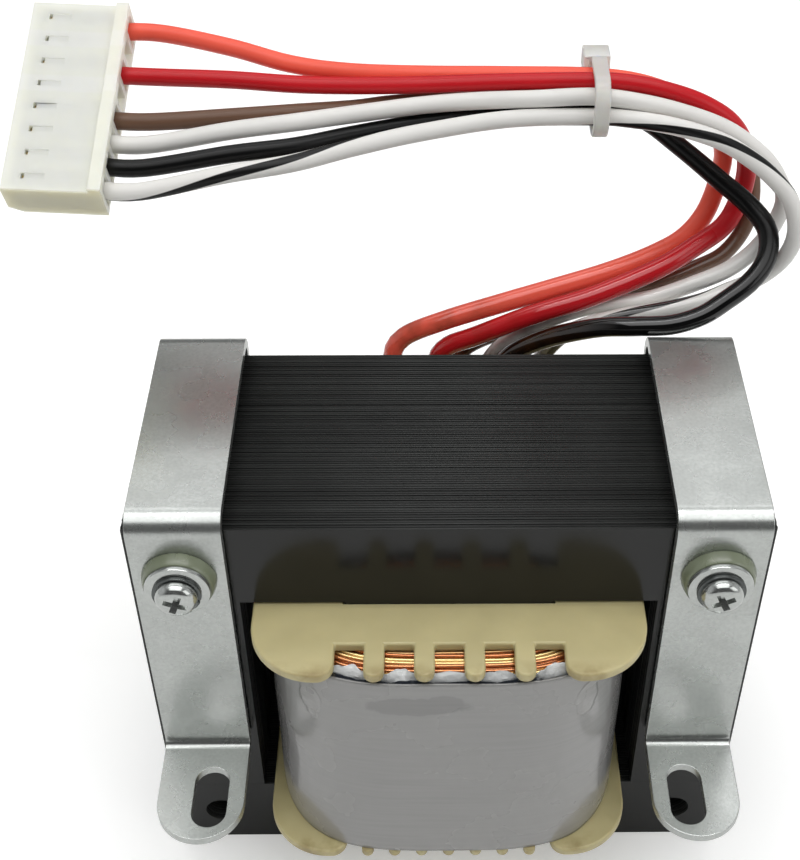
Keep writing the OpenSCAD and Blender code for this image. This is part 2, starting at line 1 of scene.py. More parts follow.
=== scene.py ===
"""Looks of a laminated mains transformer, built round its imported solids.

Run as a script in Blender. Lengths are metres, and millimetres only where a comment or docstring says so.
"""

import math
import random
from types import SimpleNamespace

import bmesh
import bpy
from bpy.props import FloatProperty, FloatVectorProperty, IntProperty, PointerProperty
from mathutils import Matrix, Vector, noise


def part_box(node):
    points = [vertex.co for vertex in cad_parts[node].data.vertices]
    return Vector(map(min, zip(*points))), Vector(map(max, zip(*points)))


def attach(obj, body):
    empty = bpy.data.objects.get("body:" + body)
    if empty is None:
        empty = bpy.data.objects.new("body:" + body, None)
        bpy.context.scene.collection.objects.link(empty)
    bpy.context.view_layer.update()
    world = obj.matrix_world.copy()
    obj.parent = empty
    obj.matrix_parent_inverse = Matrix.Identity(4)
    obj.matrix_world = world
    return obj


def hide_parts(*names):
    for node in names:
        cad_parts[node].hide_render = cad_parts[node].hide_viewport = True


bl_info = {
    "name": "Line transformer looks",
    "version": (1, 0, 0),
    "blender": (4, 5, 0),
    "location": "View3D > Sidebar > Transformer",
    "description": "Dresses the solids of a laminated mains transformer",
    "category": "Object",
}

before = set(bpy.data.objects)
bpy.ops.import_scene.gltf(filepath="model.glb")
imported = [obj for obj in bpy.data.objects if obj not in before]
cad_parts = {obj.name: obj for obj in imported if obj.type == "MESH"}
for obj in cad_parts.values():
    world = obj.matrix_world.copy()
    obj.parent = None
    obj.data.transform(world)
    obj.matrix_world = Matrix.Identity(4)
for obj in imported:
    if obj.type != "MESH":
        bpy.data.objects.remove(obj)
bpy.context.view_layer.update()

MM = 0.001
ROOT = "root"
SHARP = math.radians(32)
FLAT = math.radians(0.5)
MERGE = 1e-6
ON_SEAT = 0.5 * MM


def linear(code):
    """Linear RGB of an sRGB hex colour."""
    values = [int(code[i : i + 2], 16) / 255 for i in (1, 3, 5)]
    return tuple(v / 12.92 if v <= 0.04045 else ((v + 0.055) / 1.055) ** 2.4 for v in values)


def rgba(code):
    return (*linear(code), 1.0)


def shades(colour, *levels):
    return [(*(min(1.0, c * level) for c in colour), 1.0) for level in levels]


def per_mm(size):
    """Texture scale at which one cell of a pattern is size millimetres wide."""
    return 1 / (size * MM)


# Sizes that follow the solids

CORE_LOW, CORE_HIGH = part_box("e_laminations")
CORE_W = CORE_HIGH.x - CORE_LOW.x
CORE_H = CORE_HIGH.z - CORE_LOW.z
STACK_D = CORE_HIGH.y - CORE_LOW.y
TAPE_LOW, TAPE_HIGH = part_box("outer_tape")
COIL_LOW, COIL_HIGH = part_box("secondary_winding")
LIMB = CORE_W / 6
HOLE_R = 3 * MM
HOLE_FROM_EDGE = LIMB / 2
PACKET = 5 * MM
COIL_SQUARENESS = 3.6
COIL_SWELL = 1.02
TAPE_FLARE = 1.4 * MM

# Marks on the tape, a darker patch high on its front and blisters at its corners: middle and radii in
# millimetres

TAPE_DARK_PATCH = ((-4, -33.7, 56), (11, 12, 2.8))
TAPE_BLISTER = ((21.5, 31.5, 54), (2.4, 4, 5.5))

# Places along a clamp screw, as depths in front of and behind the middle of the core

SCREW_X = CORE_W / 2 - HOLE_FROM_EDGE
SCREW_Z = CORE_HIGH.z - HOLE_FROM_EDGE
BUSH_INNER = -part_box("left_front_bush")[1].y
BUSH_FACE = -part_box("left_front_bush")[0].y
WASHER_FACE = -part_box("left_front_washer")[0].y
HEAD_FACE = -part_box("left_screw")[0].y
SCREW_TIP = -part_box("left_screw")[1].y
NUT_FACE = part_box("left_nut")[1].y

# Harness

HOUSING_PLACE = (
    Matrix.Translation(Vector((-51.2, 35.9, 116.8)) * MM)
    @ Matrix.Rotation(math.radians(25.1), 4, "X")
    @ Matrix.Rotation(math.radians(-3.1), 4, "Z")
)
PIN_PITCH = 4.2 * MM
PIN_COUNT = 8
STRIPE_START = 1.9
LEAD_STUB = 5 * MM
LEAD_ENTRY = 2.5 * MM

# Empty chambers of the connector, in pitches from its middle

EMPTY_PINS = (0.0, 2.0)

# Lengths along a lead between which the varnish on it grows to its full thickness, and wanes

VARNISH_RISE = (3 * MM, 10 * MM)
VARNISH_FALL = (70 * MM, 100 * MM)

# Each lead's position in the connector, and the points of its route in millimetres

ROUTES = {
    "orange": (0, [
        (-8.2, 31, 61.5), (-8.2, 31, 66), (-9.4, 31.8, 70.2), (-7.2, 32.8, 73.6), (0, 33.2, 76.9),
        (10, 33.8, 80.2), (19, 34.5, 82.9), (27.5, 36, 84.9), (35, 38.6, 86.4), (41, 41.8, 87.9),
        (45, 45.5, 90.5), (47, 48, 95.5), (47, 47, 102), (44.5, 45.5, 108), (40, 45, 112.5),
        (33, 45.2, 115.7), (24.5, 45.6, 117), (10, 46.2, 117), (-4, 45.9, 117.3), (-15.6, 43.3, 119.2),
        (-24.6, 42.5, 121), (-34.3, 45.5, 122.3)]),
    "red": (2, [
        (-0.7, 30.6, 61.5), (-0.7, 30.6, 66), (-1.6, 30.8, 70), (0.5, 31.2, 72.8), (5, 31, 75),
        (15, 30.7, 80), (25, 31.2, 83.5), (36, 34.2, 87), (42.5, 37.5, 89.3), (47.5, 40.7, 91.2),
        (50, 43.3, 94.5), (50.7, 43.8, 100), (49.5, 43, 105.5), (46.5, 42.2, 110.5), (42, 42, 113.8),
        (37, 41.9, 116), (31, 42.1, 117.5), (24.5, 42.4, 118), (10, 43, 117.5), (-4, 42.5, 117.3),
        (-14.6, 40.5, 118.3), (-23.6, 39.3, 119.2), (-34.3, 39.9, 119.7)]),
    "brown": (4, [
        (0.7, 33.6, 61.5), (0.7, 33.6, 65), (4, 35.6, 69), (13, 36.8, 72.8), (22.5, 36, 77.8),
        (32.5, 36, 81.6), (38, 36.5, 83), (43, 37.6, 84.6), (48, 39.3, 86.5), (51.7, 42.5, 90.2),
        (52.8, 46, 95), (51.5, 48.3, 100), (47.5, 49, 105.5), (41, 48.4, 109.8), (33, 46.6, 112.5),
        (25, 45, 113.4), (14, 44.8, 113.4), (4, 44.9, 113.2), (-7.9, 42.1, 114.2), (-14.6, 39.3, 114.9),
        (-23.6, 36.2, 116), (-32.4, 34.5, 116.3)]),
    "white": (5, [
        (7, 33.4, 61.5), (7, 33.4, 66), (9, 32.8, 70.5), (12.5, 32.4, 74), (18, 32.4, 77.6), (25, 32, 80.6),
        (34.5, 32, 82.3), (43, 32.4, 85.6), (48.3, 33.7, 87.6), (52.5, 35.7, 90.2), (55.4, 37.6, 94),
        (56.2, 38.2, 99), (53.3, 38.1, 104.7), (49, 38, 109), (44, 38.2, 112.2), (37.5, 38.8, 114.4),
        (31, 39.2, 115.9), (23.5, 39.9, 116.6), (14, 39.9, 116.2), (5, 40.2, 115.7), (-4, 39.2, 115.5),
        (-14.6, 35.8, 115.9), (-23.6, 32.7, 116.3), (-33.3, 31, 115.9)]),
    "black": (6, [
        (8, 30.4, 61.5), (8, 30.4, 66), (11, 29.4, 72), (17, 27.8, 77), (25, 24.9, 81.6), (31, 23, 83.4),
        (37, 22.3, 84.3), (42, 23, 85.6), (46, 24.6, 87.5), (49.8, 26.6, 89.5), (52.3, 28.8, 91.6),
        (53.3, 31.2, 93.8), (52.8, 33.6, 96.1), (50, 36.4, 98.5), (45, 38.5, 102), (38.3, 40.4, 107),
        (31.5, 41.6, 111.6), (24, 42, 113.2), (14, 42, 113), (5, 41.7, 112.5), (-4, 39.1, 112.5),
        (-14.6, 34.3, 113.2), (-23.6, 30, 113.7), (-33.3, 27.6, 113.8)]),
    "striped": (7, [
        (15, 32.2, 61.5), (15, 32.2, 65.5), (17.5, 32, 70.5), (20, 30.8, 75), (22.7, 29, 78.4),
        (26, 28.2, 80.4), (31, 28.3, 81.7), (37, 28.9, 82.4), (43, 29.3, 83.8), (48, 30.7, 85.2),
        (53, 31.6, 87.2), (56.4, 31.4, 91.5), (57.2, 31, 97), (55.6, 31.7, 102.3), (52.3, 32.4, 106.2),
        (48, 33.2, 109.5), (43, 34.2, 112.1), (36, 35.3, 113.9), (29, 37.6, 113.9), (23.5, 38.8, 113.6),
        (10, 37.8, 113.8), (-4, 34.1, 113.6), (-14.6, 29.7, 113.6), (-23.6, 26, 113.2), (-34.1, 24, 112.4)]),
}


# Sizes and colours that a user would change


def length_setting(label, text, value):
    return FloatProperty(name=label, description=text, default=value, unit="LENGTH")


def count_setting(label, text, value):
    return IntProperty(name=label, description=text, default=value)


def colour_setting(label, text, code):
    return FloatVectorProperty(name=label, description=text, subtype="COLOR", default=linear(code))


class CoreSettings(bpy.types.PropertyGroup):
    """Sheets of the core"""

    sheet_pitch: length_setting("Sheet pitch", "Thickness of one sheet with its share of varnish", 0.0005)
    sheet_gap: length_setting("Sheet gap", "Gap between the edges of two sheets", 0.00008)
    unevenness: length_setting("Unevenness", "How far a sheet may stand out of line", 0.00004)
    seed: count_setting("Seed", "Start of the random places of the sheets", 4)
    varnish: colour_setting("Varnish", "Colour of the varnished sheets", "#1f201f")


class CoilSettings(bpy.types.PropertyGroup):
    """Bobbin, wire and wraps"""

    wire_d: length_setting("Wire", "Diameter of the enamelled wire", 0.00062)
    turns_shown: count_setting("Turns", "Turns of each layer made at each end of the coil", 3)
    seed: count_setting("Seed", "Start of the random lie of the wire", 9)
    copper: colour_setting("Copper", "Colour of the enamelled wire", "#dda067")
    tape: colour_setting("Tape", "Colour of the outer tape", "#8e8d8b")
    nylon: colour_setting("Bobbin", "Colour of the bobbin's nylon", "#c4b98a")


class MetalSettings(bpy.types.PropertyGroup):
    """Straps and clamp screws"""

    edge: length_setting("Edge", "Radius on the cut edges of the steel", 0.00025)
    zinc: colour_setting("Zinc", "Colour of the zinc plating", "#bcbfbc")
    bush: colour_setting("Bush", "Colour of the clear bushes", "#9aa387")


class HarnessSettings(bpy.types.PropertyGroup):
    """Leads, cable tie and connector"""

    lead_d: length_setting("Lead", "Outer diameter of a lead", 0.0028)
    stripe_pitch: length_setting("Stripe pitch", "Length in which the stripe goes once round its lead", 0.075)
    nylon: colour_setting("Nylon", "Colour of the connector", "#f6f6de")


class StageSettings(bpy.types.PropertyGroup):
    """Camera and floor"""

    lens: FloatProperty(
        name="Lens", description="Focal length of the camera", default=62.12, subtype="DISTANCE_CAMERA"
    )
    floor: colour_setting("Floor", "Colour of the floor", "#f6f6f5")


# Nodes


def join(tree, value, socket):
    """Sets an input to a value, or links it to an output or to a node's first output in use."""
    if isinstance(value, bpy.types.Node):
        value = next(output for output in value.outputs if output.enabled)
    if isinstance(value, bpy.types.NodeSocket):
        tree.links.new(value, socket)
    else:
        socket.default_value = value


def add(tree, kind, inputs=None, **settings):
    """Adds a node with its settings, and joins its inputs, which go by name or number."""
    node = tree.nodes.new(kind)
    for name, value in settings.items():
        setattr(node, name, value)
    for key, value in (inputs or {}).items():
        join(tree, value, node.inputs[key])
    return node


def geometry_tree(name, sockets):
    """Tree of geometry nodes with named inputs, the outputs that give them, and the socket at its end."""
    tree = bpy.data.node_groups.new(name, "GeometryNodeTree")
    for label, kind in {"Geometry": "Geometry", **sockets, "Material": "Material"}.items():
        tree.interface.new_socket(label, in_out="INPUT", socket_type=f"NodeSocket{kind}")
    tree.interface.new_socket("Geometry", in_out="OUTPUT", socket_type="NodeSocketGeometry")
    given = add(tree, "NodeGroupInput").outputs
    real = add(tree, "GeometryNodeRealizeInstances")
    coat = add(tree, "GeometryNodeSetMaterial", {"Geometry": real, "Material": given["Material"]})
    add(tree, "NodeGroupOutput", {"Geometry": coat})
    return tree, given, real.inputs["Geometry"]


# Objects and meshes


def new_object(name, mesh):
    made = bpy.data.objects.new(name, mesh)
    bpy.context.scene.collection.objects.link(made)
    return made


def evaluated(obj):
    """Plain mesh of an object as its modifiers leave it."""
    bpy.context.view_layer.update()
    depsgraph = bpy.context.evaluated_depsgraph_get()
    return bpy.data.meshes.new_from_object(obj.evaluated_get(depsgraph), depsgraph=depsgraph)


def mesh_of(bm, name):
    mesh = bpy.data.meshes.new(name)
    bm.to_mesh(mesh)
    bm.free()
    return mesh


def smoothed(mesh):
    mesh.shade_smooth()
    mesh.set_sharp_from_angle(angle=SHARP)
    return mesh


def finished(obj, finish, stands_for):
    """Gives a piece its finish, its body and the solids that it stands for."""
    obj.data.materials.clear()
    obj.data.materials.append(finish)
    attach(obj, ROOT)
    if stands_for:
        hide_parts(*stands_for)


def refinished(node, finish):
    """Gives a solid that shows as it is another finish."""
    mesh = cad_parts[node].data
    mesh.materials.clear()
    mesh.materials.append(finish)


def dressed(node, name, finish, edge, segments=2, closes_on=None):
    """Piece that copies a solid and rounds its edges, apart from those that close on a depth in Y."""
    bm = bmesh.new()
    bm.from_mesh(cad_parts[node].data)
    bmesh.ops.remove_doubles(bm, verts=bm.verts, dist=MERGE)
    bmesh.ops.dissolve_limit(bm, angle_limit=FLAT, verts=bm.verts, edges=bm.edges)
    held = set()
    if closes_on:
        held = {v for v in bm.verts if abs(abs(v.co.y) - closes_on) < ON_SEAT}
        for v in held:
            v.co.y = math.copysign(closes_on, v.co.y)
    sharp = [
        e for e in bm.edges
        if len(e.link_faces) == 2 and e.calc_face_angle() > SHARP and not held.intersection(e.verts)
    ]
    bmesh.ops.bevel(
        bm, geom=sharp, offset=edge, segments=segments, profile=0.5, affect="EDGES", clamp_overlap=True
    )
    obj = new_object(name, smoothed(mesh_of(bm, name)))
    obj.modifiers.new("Flat faces", "WEIGHTED_NORMAL").keep_sharp = True
    finished(obj, finish, [node])


def grown(name, source, tree, values):
    """Object with the plain mesh that a tree of geometry nodes makes from a source object."""
    modifier = source.modifiers.new("Grow", "NODES")
    modifier.node_group = tree
    for item in tree.interface.items_tree:
        if item.in_out == "INPUT" and item.name in values:
            modifier[item.identifier] = values[item.name]
    mesh = evaluated(source)
    source.modifiers.remove(modifier)
    bpy.data.objects.remove(source)
    mesh.name = name
    return new_object(name, mesh)


def carved(obj, cuts):
    """Object that is left after boolean cuts, each a cutter with its operation, and smoothed."""
    name = obj.name
    for cutter, operation in cuts:
        cut = obj.modifiers.new("Cut", "BOOLEAN")
        cut.operation = operation
        cut.object = cutter
    mesh = evaluated(obj)
    for used in (obj, *(cutter for cutter, operation in cuts)):
        bpy.data.objects.remove(used)
    return new_object(name, smoothed(mesh))


def skinned(bm, loops):
    """Closes loops of four points to one skin, with faces between them and over both ends."""
    for low, high in zip(loops, loops[1:]):
        for k in range(4):
            m = (k + 1) % 4
            bm.faces.new((low[k], low[m], high[m], high[k]))
    bm.faces.new(loops[0])
    bm.faces.new(loops[-1])
    bmesh.ops.recalc_face_normals(bm, faces=bm.faces)


def lathed(name, profile, sides=48):
    """Closed object of (radius, depth) points in millimetres turned about Y, where depth goes along -Y."""
    turns = [math.tau * k / sides for k in range(sides)]
    bm = bmesh.new()
    rings = []
    for radius, depth in profile:
        around = turns if radius else turns[:1]
        r, y = radius * MM, -depth * MM
        rings.append([bm.verts.new((r * math.cos(a), y, r * math.sin(a))) for a in around])
    for low, high in zip(rings, rings[1:] + rings[:1]):
        if len(low) == len(high) == 1:
            continue
        for k in range(sides):
            m = (k + 1) % sides
            corners = [low[k % len(low)], low[m % len(low)], high[m % len(high)], high[k % len(high)]]
            bm.faces.new(list(dict.fromkeys(corners)))
    bmesh.ops.recalc_face_normals(bm, faces=bm.faces)
    return new_object(name, smoothed(mesh_of(bm, name)))


def smooth_route(points, step):
    """Points about a step apart on a smooth curve through the given ones."""
    ends = [2 * points[0] - points[1], *points, 2 * points[-1] - points[-2]]
    route = []
    for a, b, c, d in zip(ends, ends[1:], ends[2:], ends[3:]):
        count = max(2, round((c - b).length / step))
        for k in range(count):
            t = k / count
            bend = (2 * a - 5 * b + 4 * c - d) * t * t + (3 * b - a - 3 * c + d) * t**3
            route.append(b + ((c - a) * t + bend) / 2)
    return [*route, points[-1].copy()]


def strands(name, lines, closed):
    """Object of bare edges along each of the lines."""
    points, edges = [], []
    for line in lines:
        first = len(points)
        points += line
        edges += [(i, i + 1) for i in range(first, len(points) - 1)]
        if closed:
            edges.append((len(points) - 1, first))
    mesh = bpy.data.meshes.new(name)
    mesh.from_pydata(points, edges, [])
    return new_object(name, mesh)


# Trees of geometry nodes


def round_wire_tree():
    """Round wire along bare edges, swollen near its start, that keeps its length, turn and strand number."""
    tree, given, result = geometry_tree("Round wire", {"Radius": "Float", "Swell": "Float", "Sides": "Int"})
    line = add(tree, "GeometryNodeMeshToCurve", {"Mesh": given["Geometry"]})
    along = add(tree, "GeometryNodeSplineParameter").outputs["Length"]
    number = add(tree, "FunctionNodeRandomValue", {"Seed": 3}, data_type="FLOAT")
    for name, value, domain in (("along", along, "POINT"), ("strand", number, "CURVE")):
        line = add(
            tree, "GeometryNodeStoreNamedAttribute", {"Geometry": line, "Name": name, "Value": value},
            data_type="FLOAT", domain=domain,
        )
    circle = add(
        tree, "GeometryNodeCurvePrimitiveCircle", {"Resolution": given["Sides"], "Radius": given["Radius"]}
    )
    place = add(tree, "GeometryNodeInputPosition")
    turn = add(tree, "ShaderNodeVectorMath", {0: place}, operation="NORMALIZE")
    ring = add(
        tree, "GeometryNodeStoreNamedAttribute", {"Geometry": circle, "Name": "around", "Value": turn},
        data_type="FLOAT_VECTOR",
    )
    rise_from, rise_to = VARNISH_RISE
    fall_from, fall_to = VARNISH_FALL
    full = given["Swell"]
    rise = add(tree, "ShaderNodeMapRange", {"Value": along, 1: rise_from, 2: rise_to, 3: 1.0, 4: full})
    fall = add(tree, "ShaderNodeMapRange", {"Value": along, 1: fall_from, 2: fall_to, 3: full, 4: 1.0})
    tube = add(tree, "GeometryNodeCurveToMesh", {
        "Curve": line, "Profile Curve": ring, "Fill Caps": True,
        "Scale": add(tree, "ShaderNodeMath", {0: rise, 1: fall}, operation="MINIMUM"),
    })
    join(tree, add(tree, "GeometryNodeSetShadeSmooth", {"Geometry": tube}), result)
    return tree


def sheet_stack_tree():
    """Stack of E and I sheets along Y, in packets turned over in turn, with the varnish that fills it."""
    tree, given, result = geometry_tree("Sheet stack", {
        "E Sheet": "Object", "I Sheet": "Object", "Filling": "Object", "Count": "Int", "Pitch": "Float",
        "Packet": "Int", "Unevenness": "Float", "Height": "Float", "Seed": "Int",
    })
    steps = add(tree, "ShaderNodeMath", {0: given["Count"], 1: 1.0}, operation="SUBTRACT")
    depth = add(tree, "ShaderNodeMath", {0: steps, 1: given["Pitch"]}, operation="MULTIPLY")
    front = add(tree, "ShaderNodeMath", {0: depth, 1: -0.5}, operation="MULTIPLY")
    row = add(tree, "GeometryNodeMeshLine", {
        "Count": given["Count"],
        "Start Location": add(tree, "ShaderNodeCombineXYZ", {"Y": front, "Z": given["Height"]}),
        "Offset": add(tree, "ShaderNodeCombineXYZ", {"Y": given["Pitch"]}),
    })
    most = given["Unevenness"]
    least = add(tree, "ShaderNodeMath", {0: most, 1: -1.0}, operation="MULTIPLY")
    limits = [add(tree, "ShaderNodeCombineXYZ", {"X": far, "Z": far}) for far in (least, most)]
    shift = add(
        tree, "FunctionNodeRandomValue", {0: limits[0], 1: limits[1], "Seed": given["Seed"]},
        data_type="FLOAT_VECTOR",
    )
    points = add(tree, "GeometryNodeSetPosition", {"Geometry": row, "Offset": shift})
    index = add(tree, "GeometryNodeInputIndex")
    share = add(tree, "ShaderNodeMath", {0: index, 1: given["Packet"]}, operation="DIVIDE")
    packet = add(tree, "ShaderNodeMath", {0: share}, operation="FLOOR")
    odd = add(tree, "ShaderNodeMath", {0: packet, 1: 2.0}, operation="MODULO")
    half_turn = add(tree, "ShaderNodeMath", {0: odd, 1: math.pi}, operation="MULTIPLY")
    turn = add(tree, "ShaderNodeCombineXYZ", {"Y": half_turn})
    whole = add(tree, "GeometryNodeJoinGeometry")
    for label in ("E Sheet", "I Sheet"):
        sheet = add(tree, "GeometryNodeObjectInfo", {"Object": given[label]}).outputs["Geometry"]
        copies = add(
            tree, "GeometryNodeInstanceOnPoints", {"Points": points, "Instance": sheet, "Rotation": turn}
        )
        number = add(tree, "FunctionNodeRandomValue", {"Seed": given["Seed"]}, data_type="FLOAT")
        numbered = add(
            tree, "GeometryNodeStoreNamedAttribute", {"Geometry": copies, "Name": "strand", "Value": number},
            data_type="FLOAT", domain="INSTANCE",
        )
        join(tree, numbered, whole.inputs[0])
    block = add(tree, "GeometryNodeObjectInfo", {"Object": given["Filling"]}).outputs["Geometry"]
    middle = add(tree, "ShaderNodeCombineXYZ", {"Z": given["Height"]})
    varnish = add(tree, "GeometryNodeTransform", {"Geometry": block, "Translation": middle})
    join(tree, varnish, whole.inputs[0])
    join(tree, whole, result)
    return tree


def fastener_tree():
    """Copies of one part at the points of a mesh, each turned as its point's own attribute says."""
    tree, given, result = geometry_tree("Fasteners", {"Part": "Object"})
    part = add(tree, "GeometryNodeObjectInfo", {"Object": given["Part"]}).outputs["Geometry"]
    turn = add(tree, "GeometryNodeInputNamedAttribute", {"Name": "turn"}, data_type="FLOAT_VECTOR")
    copies = add(
        tree, "GeometryNodeInstanceOnPoints",
        {"Points": given["Geometry"], "Instance": part, "Rotation": turn},
    )
    join(tree, copies, result)
    return tree


# Materials


def new_material(name):
    made = bpy.data.materials.new(name)
    made.use_nodes = True
    return made


def feed(tree, **inputs):
    """Joins inputs of a material's shader, named with _ for a space."""
    for name, value in inputs.items():
        join(tree, value, tree.nodes["Principled BSDF"].inputs[name.replace("_", " ")])


def clouded(name, clouds, tones, gloss, relief, span=(0.0, 1.0)):
    """New material with what most finishes share: clouds of two tones, gloss that follows them, fine relief.

    Clouds and relief start with a size in millimetres and a detail, and relief goes on with a strength and a
    depth in millimetres. Gloss is the roughness at both ends of a span of the clouds.
    """
    made = new_material(name)
    tree = made.node_tree
    where = add(tree, "ShaderNodeTexCoord").outputs["Object"]
    cloud, skin = (
        add(tree, "ShaderNodeTexNoise", {"Vector": where, "Scale": per_mm(size), "Detail": detail})
        for size, detail in (clouds, relief[:2])
    )
    strength, depth = relief[2:]
    tone = add(tree, "ShaderNodeMix", {0: cloud, 6: tones[0], 7: tones[1]}, data_type="RGBA")
    satin = add(tree, "ShaderNodeMapRange", {"Value": cloud, **dict(enumerate((*span, *gloss), 1))})
    bump = add(tree, "ShaderNodeBump", {"Height": skin, "Strength": strength, "Distance": depth * MM})
    feed(tree, Base_Color=tone, Roughness=satin, Normal=bump)
    return SimpleNamespace(
        material=made, tree=tree, where=where, tone=tone, gloss=satin, skin=skin, bump=bump
    )


def varnished_steel(colour):
    """Silicon steel sheet dipped in black varnish: glossy faces with runs, duller edges that vary in tone."""
    made = clouded(
        "Varnished silicon steel", (9, 4), shades(colour, 0.6, 1.3), (0.1, 0.24), (2.5, 3, 0.05, 0.2)
    )
    tree = made.tree
    normal = add(tree, "ShaderNodeNewGeometry").outputs["Normal"]
    axes = add(tree, "ShaderNodeSeparateXYZ", {"Vector": normal}).outputs
    across = add(tree, "ShaderNodeMath", {0: axes["Y"]}, operation="ABSOLUTE")
    face = add(tree, "ShaderNodeMapRange", {"Value": across, 1: 0.6, 2: 0.8})
    number = add(tree, "ShaderNodeAttribute", attribute_name="strand").outputs["Fac"]
    edges = add(tree, "ShaderNodeMapRange", {"Value": number, 3: 0.8, 4: 2.0})
    level = add(tree, "ShaderNodeMix", {0: face, 2: edges, 3: 0.75})
    tone = add(
        tree, "ShaderNodeMix", {0: 1.0, 6: made.tone, 7: level}, data_type="RGBA", blend_type="MULTIPLY"
    )
    gloss = add(tree, "ShaderNodeMix", {0: face, 2: 0.5, 3: made.gloss})
    feed(tree, Specular_IOR_Level=0.32, Base_Color=tone, Roughness=gloss)
    return made.material


def plated_steel(name, colour, roughness):
    """Steel with a bright coat: a soft mottled mirror with rolling marks and small stains."""
    gloss = (roughness * 1.12, roughness * 0.9)
    made = clouded(name, (6, 5), shades(colour, 0.86, 1.1), gloss, (0.5, 4, 0.07, 0.1), span=(0.3, 0.7))
    specks = add(made.tree, "ShaderNodeMapRange", {"Value": made.skin, 1: 0.3, 2: 0.7, 3: 0.9, 4: 1.05})
    tone = add(
        made.tree, "ShaderNodeMix", {0: 1.0, 6: made.tone, 7: specks}, data_type="RGBA", blend_type="MULTIPLY"
    )
    feed(made.tree, Metallic=0.88, Base_Color=tone)
    return made.material


def moulded_nylon(name, colour, see_in, stain_from=None, clear=0.0):
    """Natural moulded nylon: waxy, faintly cloudy, lit through at its edges, browned by varnish at lips."""
    made = clouded(name, (7, 5), shades(colour, 0.84, 1.12), (0.3, 0.5), (0.8, 3, 0.1, 0.1))
    tree = made.tree
    feed(
        tree, Subsurface_Weight=see_in, Subsurface_Radius=(1.0, 0.8, 0.5), Subsurface_Scale=1.5 * MM,
        Transmission_Weight=clear, IOR=1.53,
    )
    if stain_from:
        axes = add(tree, "ShaderNodeSeparateXYZ", {"Vector": made.where}).outputs
        reach = add(tree, "ShaderNodeMath", {0: axes["Y"]}, operation="ABSOLUTE")
        lip = add(tree, "ShaderNodeMapRange", {"Value": reach, 1: stain_from, 2: stain_from + 2.5 * MM})
        runs = add(tree, "ShaderNodeTexNoise", {"Vector": made.where, "Scale": per_mm(3.5), "Detail": 4.0})
        drips = add(tree, "ShaderNodeMapRange", {"Value": runs, 1: 0.4, 2: 0.65, 4: 0.6})
        amber = add(tree, "ShaderNodeMath", {0: lip, 1: drips}, operation="MULTIPLY")
        stained = add(tree, "ShaderNodeMix", {0: amber, 6: made.tone, 7: rgba("#7d6430")}, data_type="RGBA")
        feed(tree, Base_Color=stained)
    return made.material


def connector_nylon(colour):
    """Natural nylon moulded in thin walls: waxy, with painted light in paler bars over its empty chambers,
    and painted shade in a darker tan on its end.
    """
    made = clouded(
        "Clear natural nylon", (6, 4), shades(colour, 0.93, 1.04), (0.3, 0.45), (0.8, 3, 0.08, 0.1)
    )
    tree = made.tree
    inside = add(
        tree, "ShaderNodeMapping",
        {"Vector": made.where, "Location": HOUSING_PLACE.translation, "Rotation": HOUSING_PLACE.to_euler()},
        vector_type="TEXTURE",
    )
    across = add(tree, "ShaderNodeSeparateXYZ", {"Vector": inside}).outputs["Y"]
    place = add(tree, "ShaderNodeMath", {0: across, 1: PIN_PITCH}, operation="DIVIDE")
    number = add(tree, "ShaderNodeMath", {0: place}, operation="FLOOR")
    share = add(tree, "ShaderNodeMath", {0: place, 1: 1.0}, operation="PINGPONG")
    middle = add(tree, "ShaderNodeMath", {0: share, 1: 0.5}, operation="SUBTRACT")
    off = add(tree, "ShaderNodeMath", {0: middle}, operation="ABSOLUTE")
    chamber = add(tree, "ShaderNodeMapRange", {"Value": off, 1: 0.3, 2: 0.4, 3: 0.4, 4: 0.0})
    tone = made.tone
    # Painted light: paler bars over the empty chambers, as if light shone through their thin walls.
    for empty in EMPTY_PINS:
        here = add(tree, "ShaderNodeMath", {0: number, 1: empty, 2: 0.1}, operation="COMPARE")
        pale = add(tree, "ShaderNodeMath", {0: here, 1: chamber}, operation="MULTIPLY")
        tone = add(tree, "ShaderNodeMix", {0: pale, 6: tone, 7: rgba("#fbf9ea")}, data_type="RGBA")
    # Painted shade: a darker tan over the housing's end, beyond its last chamber.
    wall = -PIN_COUNT / 2 * PIN_PITCH
    end = add(
        tree, "ShaderNodeMapRange",
        {"Value": across, 1: wall - 0.4 * MM, 2: wall - 0.2 * MM, 3: 0.7, 4: 0.0},
    )
    feed(
        tree, Subsurface_Weight=1.0, Subsurface_Radius=(1.0, 0.97, 0.85), Subsurface_Scale=3.5 * MM, IOR=1.53,
        Base_Color=add(tree, "ShaderNodeMix", {0: end, 6: tone, 7: rgba("#cdc3a2")}, data_type="RGBA"),
    )
    return made.material


def clear_plastic(name, colour):
    """Tinted polycarbonate: glossy, half clear and faintly uneven."""
    made = clouded(name, (4, 4), shades(colour, 0.8, 1.15), (0.18, 0.34), (1.2, 2, 0.06, 0.1))
    feed(made.tree, Transmission_Weight=0.45, IOR=1.58)
    return made.material


def enamelled_copper(colour):
    """Enamelled copper wire: a warm metal under clear lacquer, whose tone differs from strand to strand."""
    made = new_material("Enamelled copper")
    tree = made.node_tree
    number = add(tree, "ShaderNodeAttribute", attribute_name="strand").outputs["Fac"]
    ramp = add(tree, "ShaderNodeValToRGB", {"Fac": number})
    stops = ramp.color_ramp.elements
    stops[0].color = rgba("#c4673c")
    stops[1].color = rgba("#f0d694")
    stops.new(0.5).color = (*colour, 1.0)
    feed(tree, Metallic=0.8, Roughness=0.2, Coat_Weight=0.6, Coat_Roughness=0.06, Base_Color=ramp)
    return made


